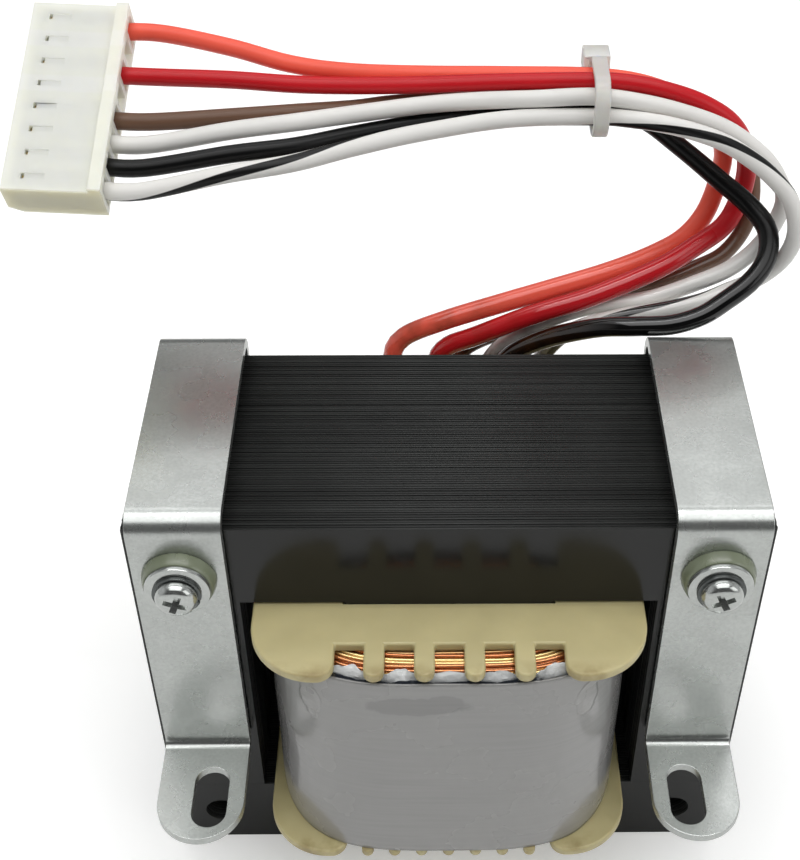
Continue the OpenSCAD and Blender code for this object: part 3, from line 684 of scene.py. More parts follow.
def film(name, colour, roughness, crease=5, depth=0.15):
    """Thin plastic film: glossy, with large creases in its mesh and small ones from a bump."""
    gloss = (roughness * 0.75, roughness * 1.25)
    made = clouded(name, (12, 4), shades(colour, 0.86, 1.1), gloss, (crease, 3, depth, 0.4))
    feed(made.tree, Coat_Weight=0.5, Coat_Roughness=0.1, IOR=1.6)
    return made.material


def polyester_tape(colour):
    """Polyester tape wound tight: glossy, with fine lines along it, a darker patch high on its front and
    corner blisters.
    """
    made = clouded(
        "Grey polyester tape", (14, 4), shades(colour, 0.95, 1.04), (0.24, 0.3), (4, 3, 0.8, 0.5)
    )
    tree = made.tree
    run = add(tree, "ShaderNodeMapping", {"Vector": made.where, "Scale": (1, 1, 24)})
    lines = add(tree, "ShaderNodeTexNoise", {"Vector": run, "Scale": per_mm(16), "Detail": 3.0})
    streak = add(tree, "ShaderNodeMapRange", {"Value": lines, 1: 0.3, 2: 0.7, 3: 0.95, 4: 1.04})
    mirrored = add(tree, "ShaderNodeVectorMath", {0: made.where}, operation="ABSOLUTE")
    marks = []
    for place, middle, radii in ((made.where, *TAPE_DARK_PATCH), (mirrored, *TAPE_BLISTER)):
        spot = add(tree, "ShaderNodeMapping", {
            "Vector": place, "Scale": [per_mm(r) for r in radii],
            "Location": [-c / r for c, r in zip(middle, radii)],
        })
        far = add(tree, "ShaderNodeVectorMath", {0: spot}, operation="LENGTH")
        uneven = add(tree, "ShaderNodeMath", {0: made.skin, 1: far}, operation="ADD")
        marks.append(add(tree, "ShaderNodeMapRange", {"Value": uneven, 1: 1.2, 2: 1.32, 3: 1.0, 4: 0.0}))
    # A darker patch high on the tape's front, and lighter raised blisters at its corners.
    dark_patch, blister = marks
    patch_darkening = add(tree, "ShaderNodeMapRange", {"Value": dark_patch, 3: 1.0, 4: 0.76})
    loose = add(tree, "ShaderNodeMapRange", {"Value": blister, 3: 1.0, 4: 1.18})
    marked = add(tree, "ShaderNodeMath", {0: patch_darkening, 1: loose}, operation="MULTIPLY")
    level = add(tree, "ShaderNodeMath", {0: marked, 1: streak}, operation="MULTIPLY")
    tone = add(
        tree, "ShaderNodeMix", {0: 1.0, 6: made.tone, 7: level}, data_type="RGBA", blend_type="MULTIPLY"
    )
    raised = add(tree, "ShaderNodeMath", {0: blister, 1: made.skin}, operation="MULTIPLY")
    join(tree, raised, made.bump.inputs["Height"])
    feed(tree, Coat_Weight=0.6, Coat_Roughness=0.1, IOR=1.6, Base_Color=tone)
    return made.material


def extruded_pvc(name, code, stripe_pitch=None):
    """PVC insulation: softly glossy, with the fine ripple of extrusion, wet with varnish near the coil."""
    made = clouded(name, (10, 3), shades(linear(code), 0.9, 1.08), (0.26, 0.36), (1.5, 2, 0.06, 0.1))
    tree, tone = made.tree, made.tone
    along = add(tree, "ShaderNodeAttribute", attribute_name="along").outputs["Fac"]
    if stripe_pitch:
        around = add(tree, "ShaderNodeAttribute", attribute_name="around").outputs["Vector"]
        axes = add(tree, "ShaderNodeSeparateXYZ", {"Vector": around}).outputs
        angle = add(tree, "ShaderNodeMath", {0: axes["Y"], 1: axes["X"]}, operation="ARCTAN2")
        turns = add(tree, "ShaderNodeMath", {0: along, 1: math.tau / stripe_pitch}, operation="MULTIPLY")
        phase = add(tree, "ShaderNodeMath", {0: angle, 1: turns}, operation="ADD")
        start = add(tree, "ShaderNodeMath", {0: phase, 1: STRIPE_START}, operation="ADD")
        wave = add(tree, "ShaderNodeMath", {0: start}, operation="COSINE")
        inked = add(tree, "ShaderNodeMapRange", {"Value": wave, 1: 0.86, 2: 0.9})
        tone = add(tree, "ShaderNodeMix", {0: inked, 6: tone, 7: rgba("#151515")}, data_type="RGBA")
    soak, pool = (
        add(tree, "ShaderNodeMapRange", {"Value": along, 1: full * MM, 2: gone * MM, 3: 1.0, 4: 0.0})
        for full, gone in ((45, 65), (14, 34))
    )
    runs = add(tree, "ShaderNodeTexNoise", {"Vector": made.where, "Scale": per_mm(4), "Detail": 2.0})
    drips = add(tree, "ShaderNodeMapRange", {"Value": runs, 1: 0.4, 2: 0.75, 3: 0.1, 4: 0.7})
    amber = add(tree, "ShaderNodeMath", {0: drips, 1: pool}, operation="MULTIPLY")
    feed(
        tree, IOR=1.53, Specular_IOR_Level=0.24, Coat_Roughness=0.04, Coat_Weight=soak,
        Base_Color=add(tree, "ShaderNodeMix", {0: amber, 6: tone, 7: rgba("#4a2a10")}, data_type="RGBA"),
        Roughness=add(tree, "ShaderNodeMix", {0: soak, 2: made.gloss, 3: 0.1}),
    )
    return made.material


def tinned_brass():
    """Tinned brass strip: soft metal with a pale gold cast."""
    made = new_material("Tinned brass")
    tree = made.node_tree
    where = add(tree, "ShaderNodeTexCoord").outputs["Object"]
    clouds = add(tree, "ShaderNodeTexNoise", {"Vector": where, "Scale": per_mm(1.5), "Detail": 3.0})
    tone = add(tree, "ShaderNodeMix", {0: clouds, 6: rgba("#b39a5c"), 7: rgba("#d8cda8")}, data_type="RGBA")
    gloss = add(tree, "ShaderNodeMapRange", {"Value": clouds, 3: 0.3, 4: 0.5})
    feed(tree, Metallic=1.0, Base_Color=tone, Roughness=gloss)
    return made


# Operators


class TRANSFORMER_OT_stage(bpy.types.Operator):
    """Make the camera, the floor, the room and the soft lights"""

    bl_idname = "transformer.stage"
    bl_label = "Stage"

    PITCH, YAW, ROLL = (math.radians(a) for a in (42.44, 0.7, 0.26))
    PLACE = (-0.0024, -0.1699, 0.2367)
    SHIFT_X = -46 / 860
    NEAR, FAR = 0.01, 20
    FLOOR_HALF = 4
    AIM = Vector((0, 0.02, 0.05))
    # Name, place, size and power of each lamp
    LIGHTS = (
        ("Ceiling panel", (0, -0.29, 1.2), (1.3, 1.18), 6.8),
        ("Ceiling tube", (0, 0.02, 1.15), (1.2, 0.036), 1.5),
        ("Back window", (-0.1, 0.72, 1.1), (1.3, 0.5), 2.2),
        ("Side window", (0.95, -0.55, 0.6), (0.7, 0.7), 2.0),
    )
    # Where the room starts to brighten, where that ends, and its levels there
    FRONT = {1: 0.75, 2: 0.83, 3: 0.05, 4: 0.85}
    BACK = {1: 0.58, 2: 0.74, 3: 0.2, 4: 0.75}
    SIDES = {1: 0.55, 2: 0.85, 3: 0.0, 4: 0.6}
    FLOOR_GLOW = 0.3

    def execute(self, context):
        settings = context.scene.transformer_stage
        self.camera(context.scene, settings.lens)
        self.floor(settings.floor)
        for name, place, size, power in self.LIGHTS:
            lamp = bpy.data.lights.new(name, "AREA")
            lamp.shape = "RECTANGLE"
            lamp.size, lamp.size_y = size
            lamp.energy = power
            obj = new_object(name, lamp)
            obj.location = place
            obj.rotation_euler = (self.AIM - Vector(place)).to_track_quat("-Z", "Y").to_euler()
        self.room(context.scene)
        context.scene.view_settings.view_transform = "Standard"
        return {"FINISHED"}

    def room(self, scene):
        """World with a pale ceiling and side walls, dark in front of the part and dim at the back"""
        world = bpy.data.worlds.new("Pale room")
        world.use_nodes = True
        tree = world.node_tree
        way = add(tree, "ShaderNodeTexCoord").outputs["Generated"]
        axes = add(tree, "ShaderNodeSeparateXYZ", {"Vector": way}).outputs
        front, back = (
            add(tree, "ShaderNodeMapRange", {"Value": axes["Z"], **wall}) for wall in (self.FRONT, self.BACK)
        )
        behind = add(tree, "ShaderNodeMapRange", {"Value": axes["Y"], 1: -0.2, 2: 0.2})
        level = add(tree, "ShaderNodeMix", {0: behind, 2: front, 3: back})
        across = add(tree, "ShaderNodeMath", {0: axes["X"]}, operation="ABSOLUTE")
        sides = add(tree, "ShaderNodeMapRange", {"Value": across, **self.SIDES})
        glow = add(tree, "ShaderNodeMath", {0: level, 1: sides}, operation="MAXIMUM")
        sky = tree.nodes["Background"]
        join(tree, rgba("#f4f5f6"), sky.inputs["Color"])
        join(tree, glow, sky.inputs["Strength"])
        scene.world = world

    def camera(self, scene, lens):
        """Camera that stands where the photograph was taken from"""
        level = math.cos(self.PITCH)
        forward = Vector((math.sin(self.YAW) * level, math.cos(self.YAW) * level, -math.sin(self.PITCH)))
        right = Vector((math.cos(self.YAW), -math.sin(self.YAW), 0))
        up = right.cross(forward)
        side = math.cos(self.ROLL) * right + math.sin(self.ROLL) * up
        top = math.cos(self.ROLL) * up - math.sin(self.ROLL) * right
        data = bpy.data.cameras.new("Camera")
        data.lens = lens
        data.shift_x = self.SHIFT_X
        data.clip_start, data.clip_end = self.NEAR, self.FAR
        obj = new_object("Camera", data)
        turn = Matrix((side, top, -forward)).transposed().to_4x4()
        obj.matrix_world = Matrix.Translation(self.PLACE) @ turn
        scene.camera = obj

    def floor(self, colour):
        """Wide floor at the height of the core's base, which the camera sees a little paler than it is lit"""
        h = self.FLOOR_HALF
        mesh = bpy.data.meshes.new("floor")
        mesh.from_pydata([(-h, -h, 0), (h, -h, 0), (h, h, 0), (-h, h, 0)], [], [(0, 1, 2, 3)])
        paper = new_material("Matt paper")
        tree = paper.node_tree
        path = add(tree, "ShaderNodeLightPath").outputs
        rays = {0: path["Is Camera Ray"], 1: path["Is Transmission Ray"]}
        seen = add(tree, "ShaderNodeMath", rays, operation="MAXIMUM")
        glow = add(tree, "ShaderNodeMath", {0: seen, 1: self.FLOOR_GLOW}, operation="MULTIPLY")
        tint = (*colour, 1.0)
        feed(tree, Roughness=0.7, Base_Color=tint, Emission_Color=tint, Emission_Strength=glow)
        mesh.materials.append(paper)
        new_object("floor", mesh)


class TRANSFORMER_OT_leads(bpy.types.Operator):
    """Make the six leads, from their notches in the bobbin to the connector"""

    bl_idname = "transformer.leads"
    bl_label = "Leads"

    STEP = 1.2 * MM
    SIDES = 20
    COLOURS = {
        "orange": "#fb6450", "red": "#c51c24", "brown": "#6b5040",
        "white": "#e6e4e0", "black": "#070707", "striped": "#e6e4e0",
    }
    # How many times thicker a lead is where it has most varnish
    VARNISH = {"orange": 1.24, "red": 1.24, "black": 1.2}

    def execute(self, context):
        settings = context.scene.transformer_harness
        tree = round_wire_tree()
        for colour, (pin, points) in ROUTES.items():
            across = ((PIN_COUNT - 1) / 2 - pin) * PIN_PITCH
            ends = [HOUSING_PLACE @ Vector((x, across, 0)) for x in (LEAD_STUB, -LEAD_ENTRY)]
            route = smooth_route([Vector(p) * MM for p in points] + ends, self.STEP)
            pitch = settings.stripe_pitch if colour == "striped" else None
            finish = extruded_pvc(f"{colour.title()} PVC", self.COLOURS[colour], pitch)
            lead = grown(f"{colour}_insulation", strands(colour, [route], closed=False), tree, {
                "Radius": settings.lead_d / 2, "Swell": self.VARNISH.get(colour, 1.0), "Sides": self.SIDES,
                "Material": finish,
            })
            finished(lead, finish, [f"{colour}_lead"])
        return {"FINISHED"}


class TRANSFORMER_OT_connector(bpy.types.Operator):
    """Make the connector on the leads and the tie round them"""

    bl_idname = "transformer.connector"
    bl_label = "Connector and tie"

    HOUSING_EDGE, TIE_EDGE = 0.12 * MM, 0.3 * MM

    def execute(self, context):
        housing = connector_nylon(context.scene.transformer_harness.nylon)
        band = moulded_nylon("Natural nylon", linear("#f8f5ee"), 0.4, clear=0.45)
        dressed("connector_housing", "connector_moulding", housing, self.HOUSING_EDGE)
        dressed("cable_tie", "tie_band", band, self.TIE_EDGE)
        refinished("crimp_terminals", tinned_brass())
        return {"FINISHED"}


class TRANSFORMER_OT_core(bpy.types.Operator):
    """Make the core from its single sheets"""

    bl_idname = "transformer.core"
    bl_label = "Core sheets"

    HOLE_SIDES = 28
    BURR = 0.02 * MM
    FILL_INSET = 0.12 * MM

    def execute(self, context):
        settings = context.scene.transformer_core
        finish = varnished_steel(settings.varnish)
        pitch = settings.sheet_pitch
        parts = self.parts(pitch - settings.sheet_gap, STACK_D - pitch)
        base = new_object("core_base", bpy.data.meshes.new("core_base"))
        core = grown("core_sheets", base, sheet_stack_tree(), {
            **parts, "Count": round(STACK_D / pitch), "Pitch": pitch, "Packet": round(PACKET / pitch),
            "Unevenness": settings.unevenness, "Height": CORE_LOW.z + CORE_H / 2, "Seed": settings.seed,
            "Material": finish,
        })
        for part in parts.values():
            bpy.data.objects.remove(part)
        finished(core, finish, ["e_laminations", "i_laminations"])
        return {"FINISHED"}

    def parts(self, thick, fill_depth):
        """E sheet, I sheet and the filling that closes the gaps between them a little below their edges"""
        half_w, half_h = CORE_W / 2, CORE_H / 2
        top, joint = half_h - LIMB, LIMB - half_h
        hole = half_h - HOLE_FROM_EDGE
        e_outline = [
            (-half_w, joint), (-half_w + LIMB, joint), (-half_w + LIMB, top), (-LIMB, top),
            (-LIMB, joint), (LIMB, joint), (LIMB, top), (half_w - LIMB, top),
            (half_w - LIMB, joint), (half_w, joint), (half_w, half_h), (-half_w, half_h)]
        i_outline = self.ring(-half_w, -half_h, half_w, joint)
        d = self.FILL_INSET
        wide = half_w - 2 * LIMB
        windows = [
            self.ring(x - d, joint - d, x + wide + d, top + d)[::-1] for x in (LIMB, LIMB - half_w)
        ]
        filling = [
            self.ring(d - half_w, d - half_h, half_w - d, half_h - d), *windows,
            *self.holes(hole, HOLE_R + d), *self.holes(-hole, HOLE_R + d)]
        return {
            "E Sheet": self.sheet("e_sheet", thick, [e_outline, *self.holes(hole, HOLE_R)]),
            "I Sheet": self.sheet("i_sheet", thick, [i_outline, *self.holes(-hole, HOLE_R)]),
            "Filling": self.sheet("filling", fill_depth, filling),
        }

    def ring(self, left, low, right, high):
        return [(left, low), (right, low), (right, high), (left, high)]

    def holes(self, height, radius):
        """Two screw holes at a height from the middle of the core"""
        turns = [math.tau * k / self.HOLE_SIDES for k in range(self.HOLE_SIDES)]
        return [
            [(middle + radius * math.cos(a), height - radius * math.sin(a)) for a in turns]
            for middle in (-SCREW_X, SCREW_X)
        ]

    def sheet(self, name, thick, rings):
        """Stamped sheet that stands in X and Z about the middle of the core, with an outline and openings"""
        curve = bpy.data.curves.new(name, "CURVE")
        curve.dimensions = "2D"
        curve.fill_mode = "BOTH"
        curve.extrude = thick / 2 - self.BURR
        curve.bevel_depth = self.BURR
        curve.bevel_resolution = 0
        curve.offset = -self.BURR
        for ring in rings:
            spline = curve.splines.new("POLY")
            spline.points.add(len(ring) - 1)
            for point, (x, y) in zip(spline.points, ring):
                point.co = (x, y, 0, 1)
            spline.use_cyclic_u = True
        flat = new_object(name, curve)
        mesh = evaluated(flat)
        mesh.transform(Matrix.Rotation(math.pi / 2, 4, "X"))
        bpy.data.objects.remove(flat)
        return new_object(name, mesh)


class TRANSFORMER_OT_bobbin(bpy.types.Operator):
    """Make the bobbin"""

    bl_idname = "transformer.bobbin"
    bl_label = "Bobbin"

    EDGE, EDGE_STEPS = 0.4 * MM, 3
    LIP = 4 * MM
    CLEARANCE = 0.02 * MM

    def execute(self, context):
        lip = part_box("bobbin")[1].y - self.LIP
        seat = STACK_D / 2 + self.CLEARANCE
        nylon = moulded_nylon("Glass filled nylon", context.scene.transformer_coil.nylon, 0.2, lip)
        dressed("bobbin", "bobbin_moulding", nylon, self.EDGE, self.EDGE_STEPS, seat)
        return {"FINISHED"}


class TRANSFORMER_OT_coil(bpy.types.Operator):
    """Make the turns of wire at the ends of the coil, the films round them and the outer tape"""

    bl_idname = "transformer.coil"
    bl_label = "Coil"

    LAYERS = 7
    WIRE_SIDES = 8
    RING_POINTS = 120
    # Shares of the wire: where the first turn lies, how loose a turn may be, and its waves up and sideways
    LIE, LOOSE, SWAY, SLIP = 0.55, 0.35, 0.35, 0.25
    PHASES = 50
    # The white film's fold, the share of it that the turns make room for, and the share that crumples
    FOLD, SETTLE, CRUMPLED = 1.4 * MM, 0.7, 0.07
    # Depths of the films under the box of their solid, and their thickness
    TAPE_IN, DARK_IN, FILM_IN = 0.1 * MM, 0.55 * MM, 0.3 * MM
    TAPE_T, FILM_T = 0.25 * MM, 0.1 * MM
    TAPE_GRID, DARK_GRID, FILM_GRID = (420, 60), (480, 4), (720, 30)

    def execute(self, context):
        settings = context.scene.transformer_coil
        copper = enamelled_copper(settings.copper)
        self.turns(settings, copper, random.Random(settings.seed))
        self.film_edge(film("White polyester film", linear("#cfd1d1"), 0.2, 1.4, 0.9))
        self.under_film(film("Dark polyester film", linear("#1a2029"), 0.2))
        self.tape(polyester_tape(settings.tape))
        refinished("primary_winding", copper)
        refinished("winding_barrier", film("Barrier film", linear("#e3d9a8"), 0.4))
        return {"FINISHED"}

    def plan(self, share, half_x, half_y):
        """Point of the coil's plan at a share of a turn"""
        c, s = math.cos(math.tau * share), math.sin(math.tau * share)
        power = 2 / COIL_SQUARENESS
        return math.copysign(abs(c) ** power, c) * half_x, math.copysign(abs(s) ** power, s) * half_y

    def waves(self, x, y, per_metre, level):
        """Smooth random number at a point of the plan, with so many waves to a metre"""
        return noise.noise((x * per_metre, y * per_metre, level))

    def pushed(self, x, y, outward, height):
        """Point at a height over a point of the plan that is moved outward"""
        scale = 1 + outward / math.hypot(x, y)
        return Vector((x * scale, y * scale, height))

    def drop(self, inset):
        """How far the turns at a depth in the winding sit below its end, to leave room for the folded film"""
        return max(0.0, self.FOLD - inset) * self.SETTLE

    def turns(self, settings, copper, chance):
        """Turns of the outer winding that show at both ends of the coil"""
        wire = settings.wire_d
        lines = []
        for layer in range(self.LAYERS):
            inset = wire * (layer + self.LIE)
            half_x, half_y = COIL_HIGH.x - inset, COIL_HIGH.y - inset * COIL_SWELL
            for turn in range(settings.turns_shown):
                lift = wire * (turn + self.LIE) + chance.uniform(0, self.LOOSE) * wire + self.drop(inset)
                for end, sense in ((COIL_HIGH.z, -1), (COIL_LOW.z, 1)):
                    phase = chance.uniform(0, self.PHASES)
                    line = []
                    for k in range(self.RING_POINTS):
                        x, y = self.plan(k / self.RING_POINTS, half_x, half_y)
                        sway = self.waves(x, y, 90, phase) * self.SWAY * wire
                        slip = self.waves(x, y, 60, phase + 9) * self.SLIP * wire
                        line.append(self.pushed(x, y, slip, end + sense * lift + sway))
                    lines.append(line)
        made = grown("outer_turns", strands("turns", lines, closed=True), round_wire_tree(), {
            "Radius": wire / 2, "Swell": 1.0, "Sides": self.WIRE_SIDES, "Material": copper,
        })
        finished(made, copper, ["secondary_winding"])

    def wrap(self, name, grid, place, finish, slot, nodes, thick):
        """Closed band round the coil, on a grid of columns and rows with points from place(share, height)"""
        columns, rows = grid
        bm = bmesh.new()
        points = [
            [bm.verts.new(place(i / columns, j / rows)) for i in range(columns)] for j in range(rows + 1)
        ]
        for low, high in zip(points, points[1:]):
            for i in range(columns):
                k = (i + 1) % columns
                bm.faces.new((low[i], low[k], high[k], high[i]))
        obj = new_object(name, smoothed(mesh_of(bm, name)))
        wall = obj.modifiers.new("Thickness", "SOLIDIFY")
        wall.thickness = thick
        wall.offset = -1
        finished(obj, finish, nodes)

    def tape(self, finish):
        """Outer tape, with soft waves in the film and a wavy top edge"""
        half_x, half_y = TAPE_HIGH.x - self.TAPE_IN, TAPE_HIGH.y - self.TAPE_IN

        def place(share, height):
            x, y = self.plan(share, half_x, half_y - TAPE_FLARE * height)
            wave = self.waves(x, y, 120, height * 4) * 0.12 * MM
            top = TAPE_HIGH.z + self.waves(x, y, 160, 3) * 0.3 * MM
            return self.pushed(x, y, wave, TAPE_LOW.z + (top - TAPE_LOW.z) * height)

        self.wrap("tape_wrap", self.TAPE_GRID, place, finish, "grey_tape", ["outer_tape"], self.TAPE_T)

    def under_film(self, finish):
        """Dark film under the tape, whose ragged edge shows above it in places"""
        half_x, half_y = TAPE_HIGH.x - self.DARK_IN, TAPE_HIGH.y - self.DARK_IN

        def place(share, height):
            x, y = self.plan(share, half_x, half_y - TAPE_FLARE * height)
            rag = self.waves(x, y, 220, 12) + 0.35 * self.waves(x, y, 900, 5)
            top = TAPE_HIGH.z + 0.1 * MM + rag * 1.2 * MM
            return Vector((x, y, TAPE_LOW.z + (top - TAPE_LOW.z) * height))

        self.wrap("dark_film", self.DARK_GRID, place, finish, "grey_tape", [], self.FILM_T)

    def film_edge(self, finish):
        """White film under the tape, crumpled where it stands up at the ends, with its rows closer there"""
        low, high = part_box("paper_wrap")
        half_x, half_y = high.x - self.FILM_IN, high.y - self.FILM_IN

        def place(share, height):
            half = 2 * height - 1
            reach = math.copysign(1 - (1 - abs(half)) ** 3, half)
            end = max(0.0, (abs(reach) - (1 - self.CRUMPLED)) / self.CRUMPLED)
            x, y = self.plan(share, half_x, half_y)
            fold = (0.55 + self.waves(x, y, 330, 2)) * self.FOLD * end**2
            crease = self.waves(x, y, 900, reach * 30) * 0.5 * MM * end - fold
            tuck = (self.waves(x, y, 500, 7 + half) - 0.25) * 0.4 * MM * end
            rise = (1 + reach) / 2 * (high.z - low.z) + math.copysign(1, half) * tuck
            return self.pushed(x, y, crease, low.z + rise)

        self.wrap("film_wrap", self.FILM_GRID, place, finish, "white_film", ["paper_wrap"], self.FILM_T)


class TRANSFORMER_OT_straps(bpy.types.Operator):
    """Make the two foot straps"""

    bl_idname = "transformer.straps"
    bl_label = "Straps"

    def execute(self, context):
        settings = context.scene.transformer_metal
        zinc = plated_steel("Zinc plated strip", settings.zinc, 0.27)
        for side in ("left", "right"):
            dressed(f"{side}_strap", f"{side}_plated_strap", zinc, settings.edge)
        return {"FINISHED"}


class TRANSFORMER_OT_screws(bpy.types.Operator):
    """Make the clamp screws with their bushes, washers and nuts, from sizes in millimetres"""

    bl_idname = "transformer.screws"
    bl_label = "Clamp screws"

    SHANK_R, BORE_R, NECK_R = 2.0, 2.15, 2.85
    THREAD_R, THREAD_PITCH, THREAD_L, THREAD_START = 1.7, 0.7, 4, 0.4
    HEAD_R, HEAD_H = 3.15, 1.8
    # Points of the head's outline, as shares of its radius and height
    HEAD_SHAPE = (
        (1, 0), (1, 0.22), (0.975, 0.44), (0.91, 0.66), (0.79, 0.84), (0.6, 0.95), (0.3, 0.99), (0, 1)
    )
    # Half length and half width of an arm of the recess at its depths from the head's face
    RECESS = ((0.55, 0.3, -1.4), (1.8, 0.5, -0.15), (1.95, 0.56, 0.5))
    WASHER_R = 4.9
    SPRING_R, SPRING_GAP, SPRING_CLIMB, SPRING_STEPS = 3.65, 0.12, 0.18, 60
    SPRING_EDGE = 0.1 * MM
    FLANGE_R, FACE_R, FLANGE_T, BUSH_SIDES = 5.6, 5.15, 2.0, 64
    NUT_W, NUT_TURNED = 7.0, 0.4
    NUT_CLEAR, NUT_MOUTH = 0.05, 0.35
    # Turn of each screw about its axis, in radians
    SPINS = (0.35, 1.15)

    def execute(self, context):
        settings = context.scene.transformer_metal
        zinc = plated_steel("Zinc plated screws", settings.zinc, 0.16)
        # The spring washers take a darker steel: painted shade under the screw heads.
        dark = plated_steel("Blued spring steel", linear("#5c5f5e"), 0.28)
        clear = clear_plastic("Olive polycarbonate", settings.bush)
        sides = ("left", "right")
        screws, nuts = ([f"{side}_{part}" for side in sides] for part in ("screw", "nut"))
        faces = [f"{side}_{face}" for side in sides for face in ("front", "rear")]
        washers, bushes = ([f"{face}_{part}" for face in faces] for part in ("washer", "bush"))
        front = [(x, spin, 0) for x, spin in zip((-SCREW_X, SCREW_X), self.SPINS)]
        rear = [(x, spin, math.pi) for x, spin, turn in front]
        for name, part, places, finish, slot, nodes in (
            ("pan_screws", self.screw(), front, zinc, "zinc_steel", screws),
            ("spring_washers", self.spring(), front, dark, "zinc_steel", []),
            ("plain_washers", self.washer(), front + rear, zinc, "zinc_steel", washers),
            ("hex_nuts", self.nut(), rear, zinc, "zinc_steel", nuts),
            ("clear_bushes", self.bush(), front + rear, clear, "bush_plastic", bushes),
        ):
            finished(self.fastened(name, part, places, finish), finish, nodes)
        return {"FINISHED"}

    def fastened(self, name, part, places, finish):
        """Copies of a part at its places on the screws, each with its own turn; the copied part goes"""
        mesh = bpy.data.meshes.new(name)
        mesh.from_pydata([(x, 0, SCREW_Z) for x, spin, turn in places], [], [])
        turns = mesh.attributes.new("turn", "FLOAT_VECTOR", "POINT")
        for value, (x, spin, turn) in zip(turns.data, places):
            value.vector = (0, spin, turn)
        made = grown(name, new_object(name, mesh), fastener_tree(), {"Part": part, "Material": finish})
        bpy.data.objects.remove(part)
        return made

    def screw(self):
        """Pan head with a cross recess, a plain shank, and thread where the tip shows"""
        face, tip = HEAD_FACE / MM, SCREW_TIP / MM
        under = face - self.HEAD_H
        shank = [(0, tip), (self.THREAD_R, tip)]
        depth = tip + self.THREAD_START
        while depth < tip + self.THREAD_L:
            shank += [(self.SHANK_R, depth), (self.THREAD_R, depth + self.THREAD_PITCH / 2)]
            depth += self.THREAD_PITCH
        shank += [(self.SHANK_R, depth), (self.SHANK_R, under)]
        head = [(self.HEAD_R * r, under + self.HEAD_H * h) for r, h in self.HEAD_SHAPE]
        screw = lathed("screw", shank + head)
        return carved(screw, [(self.recess_arm(turn), "DIFFERENCE") for turn in (0, math.pi / 2)])

    def recess_arm(self, turn):
        """One arm of the cross, which narrows as it goes in"""
        face = HEAD_FACE / MM
        bm = bmesh.new()
        corners = [(-1, -1), (1, -1), (1, 1), (-1, 1)]
        skinned(bm, [
            [bm.verts.new((x * half_l * MM, -(face + depth) * MM, z * half_w * MM)) for x, z in corners]
            for half_l, half_w, depth in self.RECESS
        ])
        mesh = mesh_of(bm, "recess")
        mesh.transform(Matrix.Rotation(turn, 4, "Y"))
        return new_object("recess", mesh)

    def spring(self):
        """Split spring washer: a square section that climbs a little in one turn"""
        base, top = WASHER_FACE / MM, HEAD_FACE / MM - self.HEAD_H - self.SPRING_CLIMB
        section = [(self.BORE_R, base), (self.SPRING_R, base), (self.SPRING_R, top), (self.BORE_R, top)]
        bm = bmesh.new()
        loops = []
        for k in range(self.SPRING_STEPS + 1):
            share = k / self.SPRING_STEPS
            a = self.SPRING_GAP / 2 + (math.tau - self.SPRING_GAP) * share
            c, s = math.cos(a) * MM, math.sin(a) * MM
            climb = self.SPRING_CLIMB * share
            loops.append([bm.verts.new((r * c, -(depth + climb) * MM, r * s)) for r, depth in section])
        skinned(bm, loops)
        corners = [e for e in bm.edges if e.calc_face_angle() > SHARP]
        bmesh.ops.bevel(bm, geom=corners, offset=self.SPRING_EDGE, segments=2, profile=0.5, affect="EDGES")
        return new_object("spring", smoothed(mesh_of(bm, "spring")))

    def washer(self):
        """Stamped washer with one rounded edge"""
        back, face, r = BUSH_FACE / MM, WASHER_FACE / MM, self.WASHER_R
        return lathed("washer", [
            (self.BORE_R, back), (r - 0.05, back), (r, back + 0.05), (r, face - 0.25),
            (r - 0.07, face - 0.08), (r - 0.25, face), (self.BORE_R + 0.1, face), (self.BORE_R, face - 0.1)])

    def nut(self):
        """Hexagon nut whose corners are turned down on both faces"""
        back, face, flat = WASHER_FACE / MM, NUT_FACE / MM, self.NUT_W / 2
        corner = flat / math.cos(math.pi / 6)
        bore, mouth = self.SHANK_R + self.NUT_CLEAR, self.SHANK_R + self.NUT_MOUTH
        blank = lathed("nut", [(0, back), (corner, back), (corner, face), (0, face)], sides=6)
        cone = lathed("cone", [
            (0, back - 0.1), (flat, back - 0.1), (corner + 0.1, back + self.NUT_TURNED),
            (corner + 0.1, face - self.NUT_TURNED), (flat, face + 0.1), (0, face + 0.1)])
        hole = lathed("bore", [
            (0, back - 1), (mouth, back - 0.05), (bore, back + 0.25), (bore, face - 0.25),
            (mouth, face + 0.05), (0, face + 1)])
        return carved(blank, [(cone, "INTERSECT"), (hole, "DIFFERENCE")])

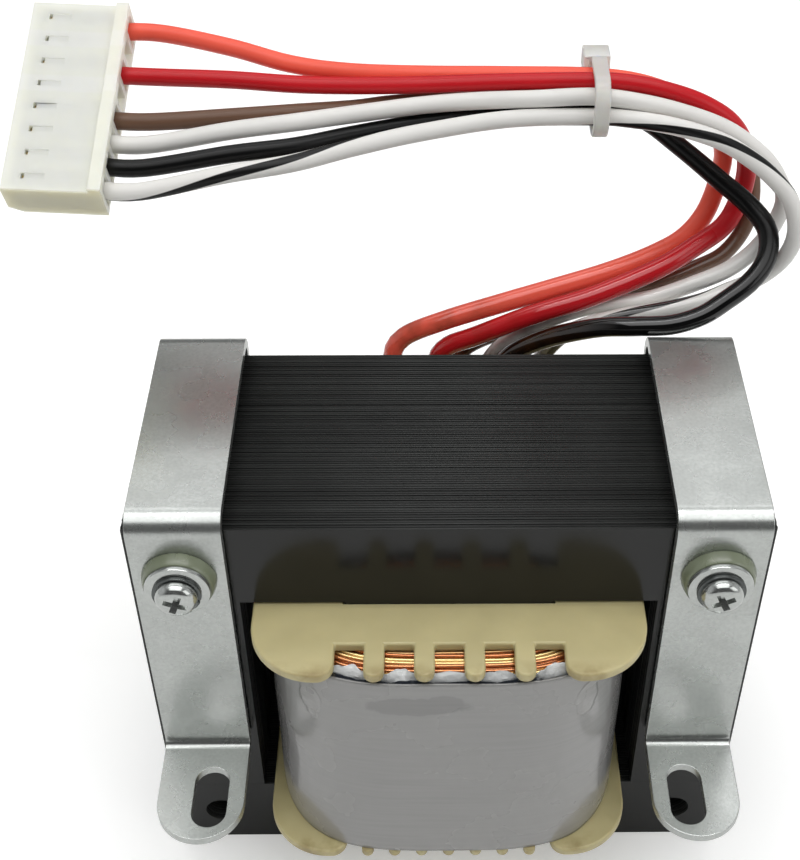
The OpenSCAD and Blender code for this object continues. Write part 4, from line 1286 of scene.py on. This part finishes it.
    def bush(self):
        """Shouldered bush: a neck in the hole and a tapered flange with a soft rim on the strap"""
        inner, face, f, c = BUSH_INNER / MM, BUSH_FACE / MM, self.FLANGE_R, self.FACE_R
        seat = face - self.FLANGE_T
        return lathed("bush", [
            (self.BORE_R, inner), (self.NECK_R, inner), (self.NECK_R, seat), (f - 0.1, seat),
            (f, seat + 0.15), (f - 0.02, seat + 0.5), (c + 0.12, face - 0.4), (c, face - 0.12),
            (c - 0.15, face), (self.BORE_R, face)], sides=self.BUSH_SIDES)


PIECES = (
    TRANSFORMER_OT_stage,
    TRANSFORMER_OT_leads,
    TRANSFORMER_OT_connector,
    TRANSFORMER_OT_core,
    TRANSFORMER_OT_bobbin,
    TRANSFORMER_OT_coil,
    TRANSFORMER_OT_straps,
    TRANSFORMER_OT_screws,
)
SETTINGS = {
    "transformer_core": CoreSettings,
    "transformer_coil": CoilSettings,
    "transformer_metal": MetalSettings,
    "transformer_harness": HarnessSettings,
    "transformer_stage": StageSettings,
}


class TRANSFORMER_PT_panel(bpy.types.Panel):
    """Buttons for each piece, and the sizes and colours that they use"""

    bl_idname = "TRANSFORMER_PT_panel"
    bl_label = "Line transformer"
    bl_space_type = "VIEW_3D"
    bl_region_type = "UI"
    bl_category = "Transformer"

    def draw(self, context):
        for piece in PIECES:
            self.layout.operator(piece.bl_idname)
        for name in SETTINGS:
            group = getattr(context.scene, name)
            box = self.layout.box()
            for key in group.__annotations__:
                box.prop(group, key)


def register():
    for cls in (*SETTINGS.values(), *PIECES, TRANSFORMER_PT_panel):
        bpy.utils.register_class(cls)
    for name, cls in SETTINGS.items():
        setattr(bpy.types.Scene, name, PointerProperty(type=cls))


def unregister():
    for name in SETTINGS:
        delattr(bpy.types.Scene, name)
    for cls in (TRANSFORMER_PT_panel, *reversed(PIECES), *SETTINGS.values()):
        bpy.utils.unregister_class(cls)


def main():
    register()
    for piece in PIECES:
        group, name = piece.bl_idname.split(".")
        getattr(getattr(bpy.ops, group), name)()


if __name__ == "__main__":
    main()
